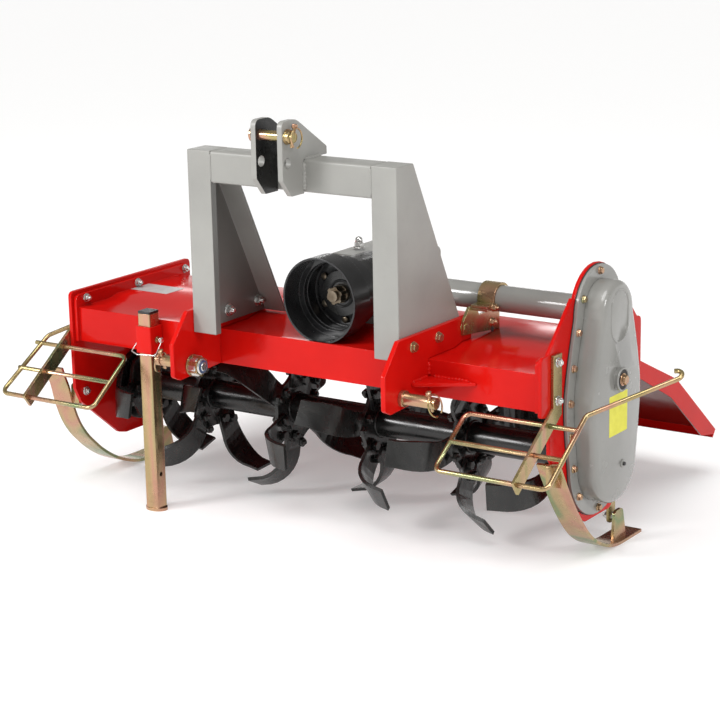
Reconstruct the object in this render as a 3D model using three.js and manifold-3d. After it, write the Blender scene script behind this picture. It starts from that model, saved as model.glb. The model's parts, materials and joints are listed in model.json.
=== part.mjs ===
// Rotary tiller for a category 1 three-point hitch, driven by the tractor's power take-off.
// Millimetres. +X is the side of the drive case, -Y is the front (the tractor), +Z is up.
import * as THREE from "three";
import { mergeVertices } from "three/addons/utils/BufferGeometryUtils.js";
import Module from "manifold-3d";

const wasm = await Module();
wasm.setup();

// ---------------------------------------------------------------- driving dimensions
const GAP = 0.3; // between pieces that touch
const PIN_GAP = 0.4; // around pins, shafts and slides

// Drive axes
const AXIS_Y = 270;
const ROTOR_Z = 190;
const DRIVE_Z = 467;

// Deck: a folded sheet between the two end plates
const DECK_LEFT = -599.7;
const DECK_RIGHT = 474;
const DECK_SHEET = 4;
const DECK_FRONT_Y = 82;
const DECK_SKIRT_Z = 319;
const DECK_FRONT_Z = 388; // top of the front strip
const DECK_TOP_Z = 394; // top of the main deck
const DECK_STEP_START_Y = 174;
const DECK_STEP_END_Y = 200;
const DECK_REAR_Y = 420;
const DECK_RETURN = 24;
const DECK_REAR_DROP = 38;
const FLANGE_THICK = 8;
const FLANGE_TOP_Z = 414;

// End plates
const PLATE_THICK = 8;
const PLATE_FRONT_Y = 69;
const PLATE_SET_BACK = 31; // of the right plate's edge below the deck, behind the guard's rods
const PLATE_REAR_Y = 454;
const PLATE_TOP_Z = 421;
const PLATE_BOTTOM_Z = 90;
const BEARING_BORE_R = 40;

// Drive case on the right end plate
const CASE_TOP_R = 86;
const CASE_WAIST = 121;
const CASE_WAIST_Z = 303;
const CASE_BOTTOM_R = 107;
const CASE_FLANGE_THICK = 7.4;
const CASE_PLATE_MARGIN = 3;
const CASE_PLATE_BOTTOM_Z = 73; // of the right plate, below the case
const COVER_INSET = 26;
const COVER_DEPTH = 40;
const COVER_ROUND = 12;
const IDLER_Z = 345;
const IDLER_R = 21;
const IDLER_RISE = 8;

// Hitch: mast, ears, lower plates and pins
const MAST_HALF = 232.3;
const MAST_WALL = 5;
const MAST_FLANGE = 54;
const MAST_LIP = 16; // of the front flange, folded back
const MAST_FOOT_Z = 398;
const MAST_TOP_Z = 748;
const MAST_FOOT_DEPTH = 227;
const MAST_TOP_DEPTH = 55.6;
const BEAM_HEIGHT = 59.3;
const EAR_HALF_GAP = 23.3;
const EAR_THICK = 11.3;
const EAR_FRONT_Y = -64.3;
const EAR_REAR_Y = 73;
const EAR_TOP_Z = 824;
const TOP_PIN_Y = -49;
const TOP_PIN_Z = 795.6;
const TOP_PIN_R = 9.5;
const TOP_PIN_LEFT_OVERHANG = 8;
const TOP_PIN_RIGHT_OVERHANG = 16;
const SPARE_HOLE_Z = 748;
const HITCH_THICK = 9.8;
const HITCH_FRONT_Y = -62.6;
const HITCH_REAR_Y = 232;
const HITCH_TOP_Z = 441;
const HITCH_BOTTOM_Z = 313;
const LOWER_PIN_Y = -8.9;
const LOWER_PIN_Z = 335.6;
const LOWER_PIN_R = 11;
const LOWER_PIN_END = 316;
const PIN_COLLAR_R = 15;
const PIN_COLLAR_LENGTH = 8;
const PIN_NUT_ACROSS = 34;
const PIN_NUT_LENGTH = 24;
const GUSSET_THICK = 6;
const GUSSET_WIDTH = 100;
const GUSSET_DEPTH = 60;
const GUSSET_Z = 350;

// Gearbox, power take-off and side tube
const GEARBOX_HALF = 78;
const GEARBOX_FRONT_Y = 182;
const GEARBOX_BLOCK_Y = 233; // where the round neck ends and the block starts
const GEARBOX_REAR_Y = 390;
const GEARBOX_NECK_R = 62;
const GEARBOX_TOP_Z = 525;
const GEARBOX_ROUND = 12;
const BOSS_R = 44;
const BOSS_LENGTH = 22;
const SHAFT_R = 17.5;
const SHAFT_SPLINES = 6;
const SHAFT_FRONT_Y = 128;
const SHAFT_NOSE_R = 11;
const SHAFT_NOSE_LENGTH = 7;
const SHAFT_SEAT_DEPTH = 16;
const SHIELD_R = 82;
const SHIELD_WALL = 4;
const SHIELD_THROAT_R = 66;
const SHIELD_LEDGE_Y = 130;
const SHIELD_FRONT_Y = 84;
const SHIELD_REAR_Y = 177;
const SIDE_TUBE_R = 25;
const CLAMP_X = 250;
const CLAMP_WIDTH = 36;
const CLAMP_STRAP = 5;
const CLAMP_FOOT = 24;
const CLAMP_PLATE = 6;

// Rotor
const ROTOR_TUBE_R = 29;
const ROTOR_STUB_R = 18;
const ROTOR_END_ROOM = 20; // from the tube's ends to the deck's ends
const HUB_R = 47;
const HUB_LENGTH = 15;
const LEFT_HOUSING_R = 78;
const LEFT_HOUSING_THICK = 13;
const LEFT_BARREL_LENGTH = 30;
const TINE_FLANGE_R = 75;
const TINE_FLANGE_THICK = 8;
const TINE_THICK = 7;
const TINE_WIDTH = 50;
const TINE_ROOT_R = 44;
const TINE_BEND_START_R = 90;
const TINE_BEND_R = 70;
const TINE_BEND_DEG = 78;
const TINE_TIP_LENGTH = 23;
const TINE_SWEEP = 26;
const TINE_PITCH_DEG = 23.6; // of the tip, whose leading edge is further out
const TINES_A_FLANGE = 6;
const END_FLANGE_INSET = 8; // from the tube's left end to the first flange
const LAST_FLANGE_INSET = 26; // from the tube's right end to the last flange, clear of the hub
const FULL_FLANGES = 4;
const FULL_FLANGE_START = -400;
const FULL_FLANGE_PITCH = 206;
const TINE_PHASE_DEG = [39, 146.5, 57.5, 83, 100, 119];

// Parking stand
const STAND_X = -395;
const STAND_TUBE = 30;
const STAND_WALL = 2.5;
const STAND_TOP_Z = 404;
const STAND_FOOT_X = 48;
const STAND_FOOT_Y = 36;
const STAND_FOOT_THICK = 6;
const CAP_HEIGHT = 5;
const SLEEVE_OUTER = 38;
const SLEEVE_BOTTOM_Z = 325;
const SLEEVE_TOP_Z = 379;
const STAND_PIN_R = 4;
const STAND_PIN_Z = 352;
const STAND_PIN_HEAD = 10;
const STORE_HOLE_Z = 75;

// Skids
const SKID_WIDTH = 48;
const SKID_THICK = 6;
const RIGHT_SKID_INSET = 22; // of the right strap's edge from the end plate's inner face
const LEFT_SKID_SPACER = 16; // between the left end plate and its strap
const SKID_BOLT_Y = 99;
const SKID_BOLT_Z = 209;
const SKID_LUG_Y = 358;
const UPRIGHT_WIDTH = 26;
const UPRIGHT_TOP_Z = 205;

// Front guards
const GUARD_ROD_R = 4.6;
const GUARD_BAR_WIDTH = 30;
const GUARD_BAR_THICK = 6;
const GUARD_BEND = 14;
const GUARD_ROD_PLACES = [10, 78, 146];
const RIGHT_GUARD_INWARD = 166; // from the end plate's outer face
const RIGHT_GUARD_OUTWARD = 63;
const LEFT_GUARD_INWARD = 162;
const LEFT_GUARD_OUTWARD = 77;
const HOOK_BEND = 10;
const HOOK_CORNER = [229, 320]; // from the end plate's outer face, and along the guard from its lower end
const HOOK_END = [182, 308];
const RIGHT_TAIL_CORNER = 181;
const LEFT_TAIL_CORNER = [-60, 167];
const LEFT_TAIL_END = [-14, 204];
const RIGHT_BAR_BEND = [118, 315];
const RIGHT_BAR_END = [-30, 211];
const LEFT_BAR_BEND = [103, 348];
const LEFT_BAR_END = [-66, 225];

// Rear board
const HINGE_Y = 447;
const HINGE_Z = 337;
const HINGE_ROD_R = 6;
const KNUCKLE_R = 11;
const BOARD_SHEET = 3;
const BOARD_SIDE_GAP = 6;
const BOARD_FLANGE = 38;
const BOARD_KNEE_Y = 639;
const BOARD_KNEE_Z = 249;
const BOARD_TIP_Y = 825;
const BOARD_TIP_Z = 99;
const BOARD_LIP = 18;

// ---------------------------------------------------------------- materials
const paint = (color, roughness, metalness = 0) =>
  new THREE.MeshStandardMaterial({ color, roughness, metalness });
const RED = paint(0xc8140f, 0.25);
const GREY = paint(0x8f908b, 0.4);
const BLACK = paint(0x1c1c1b, 0.45);
const PLASTIC = paint(0x1a1a1a, 0.55);
const ZINC = paint(0xb39a5c, 0.35, 0.8);
const STEEL = paint(0x9a9a98, 0.35, 0.9);

// ---------------------------------------------------------------- solids
// A closed geometry as a manifold solid.
function solidOf(geometry) {
  const bare = geometry.clone();
  bare.deleteAttribute("normal");
  bare.deleteAttribute("uv");
  const merged = mergeVertices(bare, 1e-3);
  return new wasm.Manifold(
    new wasm.Mesh({
      numProp: 3,
      vertProperties: merged.attributes.position.array,
      triVerts: new Uint32Array(merged.index.array),
    }),
  );
}

function geometryOf(solid) {
  const mesh = solid.getMesh();
  const geometry = new THREE.BufferGeometry();
  geometry.setAttribute("position", new THREE.BufferAttribute(mesh.vertProperties, 3));
  geometry.setIndex(new THREE.BufferAttribute(mesh.triVerts, 1));
  const flat = geometry.toNonIndexed();
  flat.computeVertexNormals();
  return flat;
}

const join = (...pieces) =>
  geometryOf(pieces.map(solidOf).reduce((whole, piece) => whole.add(piece)));
const cut = (body, ...tools) =>
  geometryOf(tools.map(solidOf).reduce((left, tool) => left.subtract(tool), solidOf(body)));

function box(x0, x1, y0, y1, z0, z1) {
  const block = new THREE.BoxGeometry(x1 - x0, y1 - y0, z1 - z0);
  return block.translate((x0 + x1) / 2, (y0 + y1) / 2, (z0 + z1) / 2);
}

function cylinderX(radius, x0, x1, y, z, sides = 32) {
  const upright = new THREE.CylinderGeometry(radius, radius, x1 - x0, sides);
  return upright.rotateZ(-Math.PI / 2).translate((x0 + x1) / 2, y, z);
}

function cylinderY(radius, y0, y1, x, z, sides = 32) {
  return new THREE.CylinderGeometry(radius, radius, y1 - y0, sides).translate(x, (y0 + y1) / 2, z);
}

// A closed outline through corners [u, v, radius]; a corner without a radius stays sharp.
function outline(corners) {
  const shape = new THREE.Shape();
  const points = corners.map(([u, v]) => new THREE.Vector2(u, v));
  corners.forEach(([u, v, radius = 0], i) => {
    const toBefore = points.at(i - 1).clone().sub(points[i]);
    const toAfter = points[(i + 1) % points.length].clone().sub(points[i]);
    const half = toBefore.angleTo(toAfter) / 2;
    const reach = Math.min(radius / Math.tan(half), toBefore.length() / 2, toAfter.length() / 2);
    const start = points[i].clone().addScaledVector(toBefore.normalize(), reach);
    const end = points[i].clone().addScaledVector(toAfter.normalize(), reach);
    if (i === 0) shape.moveTo(start.x, start.y);
    else shape.lineTo(start.x, start.y);
    if (radius > 0) shape.quadraticCurveTo(u, v, end.x, end.y);
  });
  shape.closePath();
  return shape;
}

// The outline of a sheet of the given thickness that follows a line of [u, v] points at its middle.
function sheetOutline(line, thickness) {
  const points = line.map(([u, v]) => new THREE.Vector2(u, v));
  const sides = [[], []];
  points.forEach((point, i) => {
    const before = i > 0 ? point.clone().sub(points[i - 1]).normalize() : null;
    const after = i < points.length - 1 ? points[i + 1].clone().sub(point).normalize() : null;
    const along = (before ?? after).clone().add(after ?? before).normalize();
    const across = new THREE.Vector2(-along.y, along.x);
    const edge = before ?? after;
    const reach = thickness / 2 / across.dot(new THREE.Vector2(-edge.y, edge.x));
    sides[0].push(point.clone().addScaledVector(across, reach));
    sides[1].unshift(point.clone().addScaledVector(across, -reach));
  });
  return new THREE.Shape([...sides[0], ...sides[1]]);
}

// Shapes drawn in (Y, Z) and carried along X, and shapes drawn in (X, Z) and carried along Y.
function plateX(shape, x0, x1, curveSegments = 5) {
  const turn = new THREE.Matrix4().makeBasis(
    new THREE.Vector3(0, 1, 0),
    new THREE.Vector3(0, 0, 1),
    new THREE.Vector3(1, 0, 0),
  );
  const flat = new THREE.ExtrudeGeometry(shape, { depth: x1 - x0, bevelEnabled: false, curveSegments });
  return flat.applyMatrix4(turn).translate(x0, 0, 0);
}

function plateY(shape, y0, y1, curveSegments = 5) {
  const flat = new THREE.ExtrudeGeometry(shape, { depth: y1 - y0, bevelEnabled: false, curveSegments });
  return flat.rotateX(Math.PI / 2).translate(0, y1, 0);
}

function hole(u, v, radius) {
  return new THREE.Path().absarc(u, v, radius, 0, 2 * Math.PI, true);
}

// A line of straight stretches joined by arcs, as the list of points that it runs through. A corner is
// [x, y, z, radius]; without a radius it takes the bend given.
class BentPath extends THREE.Curve {
  constructor(corners, bend, steps = 6) {
    super();
    const at = corners.map(([x, y, z]) => new THREE.Vector3(x, y, z));
    this.points = [at[0]];
    for (let i = 1; i < at.length - 1; i++) {
      const radius = corners[i][3] ?? bend;
      const before = at[i].clone().sub(at[i - 1]).normalize();
      const after = at[i + 1].clone().sub(at[i]).normalize();
      const turn = before.angleTo(after);
      const inward = after.clone().addScaledVector(before, -before.dot(after)).normalize();
      const start = at[i].clone().addScaledVector(before, -radius * Math.tan(turn / 2));
      for (let step = 0; step <= steps; step++) {
        const swept = (turn * step) / steps;
        const forward = start.clone().addScaledVector(before, radius * Math.sin(swept));
        this.points.push(forward.addScaledVector(inward, radius * (1 - Math.cos(swept))));
      }
    }
    this.points.push(at.at(-1));
  }
  getPoint(t, target = new THREE.Vector3()) {
    const place = t * (this.points.length - 1);
    const i = Math.min(Math.floor(place), this.points.length - 2);
    return target.copy(this.points[i]).lerp(this.points[i + 1], place - i);
  }
  getPointAt(t, target) {
    return this.getPoint(t, target);
  }
  getTangentAt(t, target) {
    return this.getTangent(t, target);
  }
}

function rod(corners, radius, bend, sides = 8) {
  const path = new BentPath(corners, bend);
  const section = new THREE.Shape(
    Array.from({ length: sides }, (_, i) => {
      const turn = (i / sides) * 2 * Math.PI;
      return new THREE.Vector2(radius * Math.cos(turn), radius * Math.sin(turn));
    }),
  );
  const steps = path.points.length - 1;
  return new THREE.ExtrudeGeometry(section, { steps, extrudePath: path, bevelEnabled: false });
}

// A closed solid through rings of corners that all run the same way round.
function loft(rings) {
  const count = rings[0].length;
  const positions = rings.flat().flatMap((corner) => corner.toArray());
  const faces = [];
  for (let r = 0; r < rings.length - 1; r++) {
    for (let i = 0; i < count; i++) {
      const a = r * count + i;
      const b = r * count + ((i + 1) % count);
      faces.push(a, b, b + count, a, b + count, a + count);
    }
  }
  const last = (rings.length - 1) * count;
  for (let i = 1; i < count - 1; i++) faces.push(0, i + 1, i, last, last + i, last + i + 1);
  const geometry = new THREE.BufferGeometry();
  geometry.setAttribute("position", new THREE.Float32BufferAttribute(positions, 3));
  geometry.setIndex(faces);
  return geometry;
}

// ---------------------------------------------------------------- the assembly
const tiller = new THREE.Group();

function add(name, geometry, material) {
  const mesh = new THREE.Mesh(geometry, material);
  mesh.name = name;
  tiller.add(mesh);
  return mesh;
}

const SIDES = [
  ["left", -1],
  ["right", 1],
];

// Spans X on one side of the middle, for a piece between two distances from it.
const span = (side, near, far) => (side > 0 ? [near, far] : [-far, -near]);

// ---------------------------------------------------------------- deck and end plates
const SHEET_HALF = DECK_SHEET / 2;
const LEFT_PLATE_OUT = DECK_LEFT - GAP - PLATE_THICK;
const RIGHT_PLATE_IN = DECK_RIGHT + GAP;
const RIGHT_PLATE_OUT = RIGHT_PLATE_IN + PLATE_THICK;

function deck() {
  const panelY = DECK_FRONT_Y + SHEET_HALF;
  const profile = sheetOutline(
    [
      [panelY + DECK_RETURN, DECK_SKIRT_Z + SHEET_HALF],
      [panelY, DECK_SKIRT_Z + SHEET_HALF],
      [panelY, DECK_FRONT_Z - SHEET_HALF],
      [DECK_STEP_START_Y, DECK_FRONT_Z - SHEET_HALF],
      [DECK_STEP_END_Y, DECK_TOP_Z - SHEET_HALF],
      [DECK_REAR_Y - 8, DECK_TOP_Z - SHEET_HALF],
      [DECK_REAR_Y + 6, DECK_TOP_Z - 14],
      [DECK_REAR_Y + 6, DECK_TOP_Z - DECK_REAR_DROP],
    ],
    DECK_SHEET,
  );
  const sheet = plateX(profile, DECK_LEFT, DECK_RIGHT);
  const flange = outline([
    [PLATE_FRONT_Y + 6, DECK_SKIRT_Z],
    [PLATE_FRONT_Y + 6, FLANGE_TOP_Z, 14],
    [DECK_REAR_Y + 20, FLANGE_TOP_Z, 14],
    [DECK_REAR_Y + 20, DECK_TOP_Z - DECK_REAR_DROP + 4],
    [DECK_REAR_Y - 10, DECK_TOP_Z - 24],
    [PLATE_FRONT_Y + 40, DECK_FRONT_Z - 24],
    [PLATE_FRONT_Y + 40, DECK_SKIRT_Z],
  ]);
  return join(
    sheet,
    plateX(flange, DECK_LEFT, DECK_LEFT + FLANGE_THICK),
    plateX(flange, DECK_RIGHT - FLANGE_THICK, DECK_RIGHT),
  );
}

// The end plate's outline, without the lobe that carries the drive case, round a given lower front.
function plateCorners(frontEdge) {
  return [
    [PLATE_FRONT_Y, PLATE_TOP_Z, 12],
    ...frontEdge,
    [PLATE_REAR_Y - 16, ROTOR_Z + 20, 30],
    [PLATE_REAR_Y, ROTOR_Z + 70, 30],
    [PLATE_REAR_Y, PLATE_TOP_Z, 12],
  ];
}

function leftEndPlate() {
  const frontEdge = [
    [PLATE_FRONT_Y, ROTOR_Z + 30, 10],
    [PLATE_FRONT_Y + 16, ROTOR_Z - 2, 10],
    [AXIS_Y - 74, PLATE_BOTTOM_Z + 6, 10],
    [AXIS_Y - 50, PLATE_BOTTOM_Z, 10],
    [AXIS_Y + 72, PLATE_BOTTOM_Z, 24],
  ];
  return cut(
    plateX(outline(plateCorners(frontEdge)), LEFT_PLATE_OUT, DECK_LEFT - GAP),
    cylinderX(BEARING_BORE_R, LEFT_PLATE_OUT - 1, DECK_LEFT, AXIS_Y, ROTOR_Z),
  );
}

// The drive case's outline, grown by a margin: two circles joined through a wider waist.
function caseOutline(margin) {
  const topR = CASE_TOP_R + margin;
  const bottomR = CASE_BOTTOM_R + margin;
  const waist = CASE_WAIST + margin;
  const side = (sign) => [
    new THREE.Vector2(AXIS_Y + sign * (0.35 * topR + 0.65 * waist), (CASE_WAIST_Z + DRIVE_Z) / 2),
    new THREE.Vector2(AXIS_Y + sign * waist, CASE_WAIST_Z),
  ];
  const shape = new THREE.Shape();
  shape.moveTo(AXIS_Y + topR, DRIVE_Z);
  shape.absarc(AXIS_Y, DRIVE_Z, topR, 0, Math.PI, false);
  shape.splineThru([...side(-1), new THREE.Vector2(AXIS_Y - bottomR, ROTOR_Z)]);
  shape.absarc(AXIS_Y, ROTOR_Z, bottomR, Math.PI, 2 * Math.PI, false);
  shape.splineThru([...side(1).reverse(), new THREE.Vector2(AXIS_Y + topR, DRIVE_Z)]);
  return shape;
}

function rightEndPlate() {
  const frontEdge = [
    [PLATE_FRONT_Y, DECK_SKIRT_Z - 7, 6],
    [PLATE_FRONT_Y + PLATE_SET_BACK, DECK_SKIRT_Z - 14, 6],
    [PLATE_FRONT_Y + PLATE_SET_BACK, ROTOR_Z + 42, 16],
    [AXIS_Y - 72, PLATE_BOTTOM_Z, 24],
    [AXIS_Y - 33, CASE_PLATE_BOTTOM_Z, 8],
    [AXIS_Y + 65, CASE_PLATE_BOTTOM_Z, 16],
  ];
  const lobe = plateX(caseOutline(CASE_PLATE_MARGIN), RIGHT_PLATE_IN, RIGHT_PLATE_OUT, 8);
  const brow = outline([
    [PLATE_FRONT_Y + 4, PLATE_TOP_Z - 20],
    [AXIS_Y - CASE_TOP_R - 2, DRIVE_Z + 40],
    [AXIS_Y, DRIVE_Z],
    [AXIS_Y, PLATE_TOP_Z - 60],
  ]);
  const rearBrow = outline([
    [PLATE_REAR_Y - 4, PLATE_TOP_Z - 12],
    [AXIS_Y, PLATE_TOP_Z - 60],
    [AXIS_Y, DRIVE_Z],
    [AXIS_Y + CASE_TOP_R + 2, DRIVE_Z + 40],
  ]);
  return join(
    plateX(outline(plateCorners(frontEdge)), RIGHT_PLATE_IN, RIGHT_PLATE_OUT),
    lobe,
    plateX(brow, RIGHT_PLATE_IN, RIGHT_PLATE_OUT),
    plateX(rearBrow, RIGHT_PLATE_IN, RIGHT_PLATE_OUT),
  );
}

add("deck", deck(), RED);
add("left_end_plate", leftEndPlate(), RED);
add("right_end_plate", rightEndPlate(), RED);

// ---------------------------------------------------------------- drive case
const CASE_IN = RIGHT_PLATE_OUT + GAP;
const CASE_OUT = CASE_IN + CASE_FLANGE_THICK;
const COVER_IN = CASE_OUT + GAP;
const COVER_OUT = COVER_IN + COVER_DEPTH;

function caseCover() {
  const turn = new THREE.Matrix4().makeBasis(
    new THREE.Vector3(0, 1, 0),
    new THREE.Vector3(0, 0, 1),
    new THREE.Vector3(1, 0, 0),
  );
  const rounded = new THREE.ExtrudeGeometry(caseOutline(-COVER_INSET), {
    depth: COVER_DEPTH - COVER_ROUND,
    bevelEnabled: true,
    bevelSize: COVER_ROUND,
    bevelOffset: -COVER_ROUND,
    bevelThickness: COVER_ROUND,
    bevelSegments: 3,
    curveSegments: 9,
  })
    .applyMatrix4(turn)
    .translate(COVER_IN, 0, 0);
  const behind = box(COVER_IN - 2 * COVER_ROUND, COVER_IN, 0, 2 * AXIS_Y, 0, 2 * DRIVE_Z);
  const idler = cylinderX(IDLER_R, COVER_OUT - 4, COVER_OUT + IDLER_RISE, AXIS_Y, IDLER_Z, 28);
  return join(cut(rounded, behind), idler);
}

add("case_flange", plateX(caseOutline(0), CASE_IN, CASE_OUT, 10), GREY);
add("case_cover", caseCover(), GREY);

// ---------------------------------------------------------------- hitch plates, pins and gussets
const HITCH_IN = MAST_HALF + GAP;
const HITCH_OUT = HITCH_IN + HITCH_THICK;

function hitchPlate(side) {
  const onDeck = GAP + 0.1;
  const shape = outline([
    [HITCH_FRONT_Y, HITCH_TOP_Z - 55],
    [HITCH_FRONT_Y, HITCH_BOTTOM_Z + 9, 8],
    [HITCH_FRONT_Y + 18, HITCH_BOTTOM_Z, 8],
    [DECK_FRONT_Y - GAP, DECK_SKIRT_Z],
    [DECK_FRONT_Y - GAP, DECK_FRONT_Z + onDeck],
    [DECK_STEP_START_Y - 2, DECK_FRONT_Z + onDeck],
    [DECK_STEP_END_Y - 2, DECK_TOP_Z + onDeck],
    [HITCH_REAR_Y, DECK_TOP_Z + onDeck],
    [HITCH_REAR_Y, HITCH_TOP_Z, 10],
    [HITCH_FRONT_Y + 47, HITCH_TOP_Z, 6],
  ]);
  shape.holes.push(hole(LOWER_PIN_Y, LOWER_PIN_Z, LOWER_PIN_R + PIN_GAP));
  return plateX(shape, ...span(side, HITCH_IN, HITCH_OUT), 7);
}

function lowerPin(side) {
  const nutR = PIN_NUT_ACROSS / 2 / Math.cos(Math.PI / 6);
  const nutNear = HITCH_IN - GAP - PIN_NUT_LENGTH;
  const collar = span(side, HITCH_OUT + GAP, HITCH_OUT + PIN_COLLAR_LENGTH);
  return join(
    cylinderX(LOWER_PIN_R, ...span(side, nutNear + 4, LOWER_PIN_END), LOWER_PIN_Y, LOWER_PIN_Z, 28),
    cylinderX(nutR, ...span(side, nutNear, HITCH_IN - GAP), LOWER_PIN_Y, LOWER_PIN_Z, 6),
    cylinderX(PIN_COLLAR_R, ...collar, LOWER_PIN_Y, LOWER_PIN_Z, 28),
  );
}

function gusset(side) {
  const near = HITCH_OUT + GAP;
  const corners = [
    [near, DECK_FRONT_Y - GAP],
    [near, DECK_FRONT_Y - GAP - GUSSET_DEPTH],
    [near + 6, DECK_FRONT_Y - GAP - GUSSET_DEPTH],
    [near + GUSSET_WIDTH, DECK_FRONT_Y - GAP - 3],
    [near + GUSSET_WIDTH, DECK_FRONT_Y - GAP],
  ];
  const shape = outline(corners.map(([x, y]) => [side * x, y]));
  const flat = new THREE.ExtrudeGeometry(shape, { depth: GUSSET_THICK, bevelEnabled: false });
  return flat.translate(0, 0, GUSSET_Z);
}

for (const [name, side] of SIDES) {
  add(name + "_hitch_plate", hitchPlate(side), RED);
  add(name + "_gusset", gusset(side), RED);
  add(name + "_lower_pin", lowerPin(side), ZINC);
}

// ---------------------------------------------------------------- mast
function mastLeg(side) {
  const slope = (MAST_FOOT_DEPTH - MAST_TOP_DEPTH) / (MAST_TOP_Z - MAST_FOOT_Z);
  const rearThick = MAST_WALL * Math.hypot(1, slope);
  const web = outline([
    [0, MAST_FOOT_Z],
    [MAST_FOOT_DEPTH, MAST_FOOT_Z],
    [MAST_TOP_DEPTH, MAST_TOP_Z],
    [0, MAST_TOP_Z],
  ]);
  const rear = outline([
    [MAST_FOOT_DEPTH - rearThick, MAST_FOOT_Z],
    [MAST_FOOT_DEPTH, MAST_FOOT_Z],
    [MAST_TOP_DEPTH, MAST_TOP_Z],
    [MAST_TOP_DEPTH - rearThick, MAST_TOP_Z],
  ]);
  const inner = MAST_HALF - MAST_FLANGE;
  const across = span(side, inner, MAST_HALF);
  return join(
    plateX(web, ...span(side, MAST_HALF - MAST_WALL, MAST_HALF)),
    plateX(rear, ...across),
    box(...across, 0, MAST_WALL, MAST_FOOT_Z, MAST_TOP_Z),
    box(...span(side, inner, inner + MAST_WALL), 0, MAST_LIP, MAST_FOOT_Z, MAST_TOP_Z),
    box(...across, 0, MAST_TOP_DEPTH, MAST_TOP_Z - MAST_WALL, MAST_TOP_Z),
  );
}

function mastBeam() {
  const half = MAST_HALF - MAST_FLANGE - GAP;
  const low = MAST_TOP_Z - BEAM_HEIGHT;
  const section = outline([
    [0, low, 5],
    [MAST_TOP_DEPTH, low, 5],
    [MAST_TOP_DEPTH, MAST_TOP_Z, 5],
    [0, MAST_TOP_Z, 5],
  ]);
  const inY = MAST_TOP_DEPTH - MAST_WALL;
  const inside = box(-half - 1, half + 1, MAST_WALL, inY, low + MAST_WALL, MAST_TOP_Z - MAST_WALL);
  return cut(plateX(section, -half, half), inside);
}

function ear(side) {
  const shape = outline([
    [EAR_FRONT_Y, EAR_TOP_Z, 14],
    [EAR_FRONT_Y, MAST_TOP_Z - 30],
    [EAR_FRONT_Y + 26, MAST_TOP_Z - BEAM_HEIGHT - 2],
    [-GAP, MAST_TOP_Z - BEAM_HEIGHT - 2],
    [-GAP, MAST_TOP_Z + GAP],
    [EAR_REAR_Y, MAST_TOP_Z + GAP],
    [EAR_REAR_Y, MAST_TOP_Z + 15, 5],
    [EAR_FRONT_Y + 44, EAR_TOP_Z, 36],
  ]);
  shape.holes.push(hole(TOP_PIN_Y, TOP_PIN_Z, TOP_PIN_R + PIN_GAP));
  shape.holes.push(hole(TOP_PIN_Y, SPARE_HOLE_Z, TOP_PIN_R + PIN_GAP));
  return plateX(shape, ...span(side, EAR_HALF_GAP, EAR_HALF_GAP + EAR_THICK), 7);
}

for (const [name, side] of SIDES) {
  add(name + "_mast_leg", mastLeg(side), GREY);
  add(name + "_mast_ear", ear(side), GREY);
}
add("mast_beam", mastBeam(), GREY);
const TOP_PIN_LEFT = -EAR_HALF_GAP - EAR_THICK - TOP_PIN_LEFT_OVERHANG;
const TOP_PIN_RIGHT = EAR_HALF_GAP + EAR_THICK + TOP_PIN_RIGHT_OVERHANG;
add("top_link_pin", cylinderX(TOP_PIN_R, TOP_PIN_LEFT, TOP_PIN_RIGHT, TOP_PIN_Y, TOP_PIN_Z, 28), ZINC);

// ---------------------------------------------------------------- gearbox, power take-off, side tube
const SHAFT_REAR_Y = GEARBOX_FRONT_Y - BOSS_LENGTH + SHAFT_SEAT_DEPTH;

function gearbox() {
  const low = DECK_TOP_Z + GAP;
  const section = outline([
    [-GEARBOX_HALF, low],
    [GEARBOX_HALF, low],
    [GEARBOX_HALF, GEARBOX_TOP_Z, GEARBOX_ROUND],
    [-GEARBOX_HALF, GEARBOX_TOP_Z, GEARBOX_ROUND],
  ]);
  const block = join(
    plateY(section, GEARBOX_BLOCK_Y, GEARBOX_REAR_Y),
    cylinderY(GEARBOX_NECK_R, GEARBOX_FRONT_Y, AXIS_Y, 0, DRIVE_Z, 36),
    cylinderY(BOSS_R, GEARBOX_FRONT_Y - BOSS_LENGTH, AXIS_Y, 0, DRIVE_Z, 32),
  );
  const seatY = GEARBOX_FRONT_Y - BOSS_LENGTH;
  const shaftSeat = cylinderY(SHAFT_R + PIN_GAP, seatY - 5, SHAFT_REAR_Y + 5, 0, DRIVE_Z, 32);
  return cut(block, shaftSeat);
}

// A splined shaft end: teeth of a tenth of the radius around a round core.
function ptoShaft() {
  const root = SHAFT_R * 0.86;
  const tooth = (2 * Math.PI) / SHAFT_SPLINES;
  const points = [];
  for (let i = 0; i < SHAFT_SPLINES; i++) {
    for (const [turn, radius] of [
      [0.06, root],
      [0.2, SHAFT_R],
      [0.35, SHAFT_R],
      [0.5, SHAFT_R],
      [0.64, root],
      [0.85, root],
    ]) {
      const angle = (i + turn) * tooth;
      points.push(new THREE.Vector2(radius * Math.cos(angle), DRIVE_Z + radius * Math.sin(angle)));
    }
  }
  const seatY = GEARBOX_FRONT_Y - BOSS_LENGTH - 6;
  return join(
    cylinderY(SHAFT_NOSE_R, SHAFT_FRONT_Y, SHAFT_FRONT_Y + SHAFT_NOSE_LENGTH + 1, 0, DRIVE_Z, 24),
    plateY(new THREE.Shape(points), SHAFT_FRONT_Y + SHAFT_NOSE_LENGTH, seatY + 2),
    cylinderY(SHAFT_R, seatY, SHAFT_REAR_Y, 0, DRIVE_Z, 32),
  );
}

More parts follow.
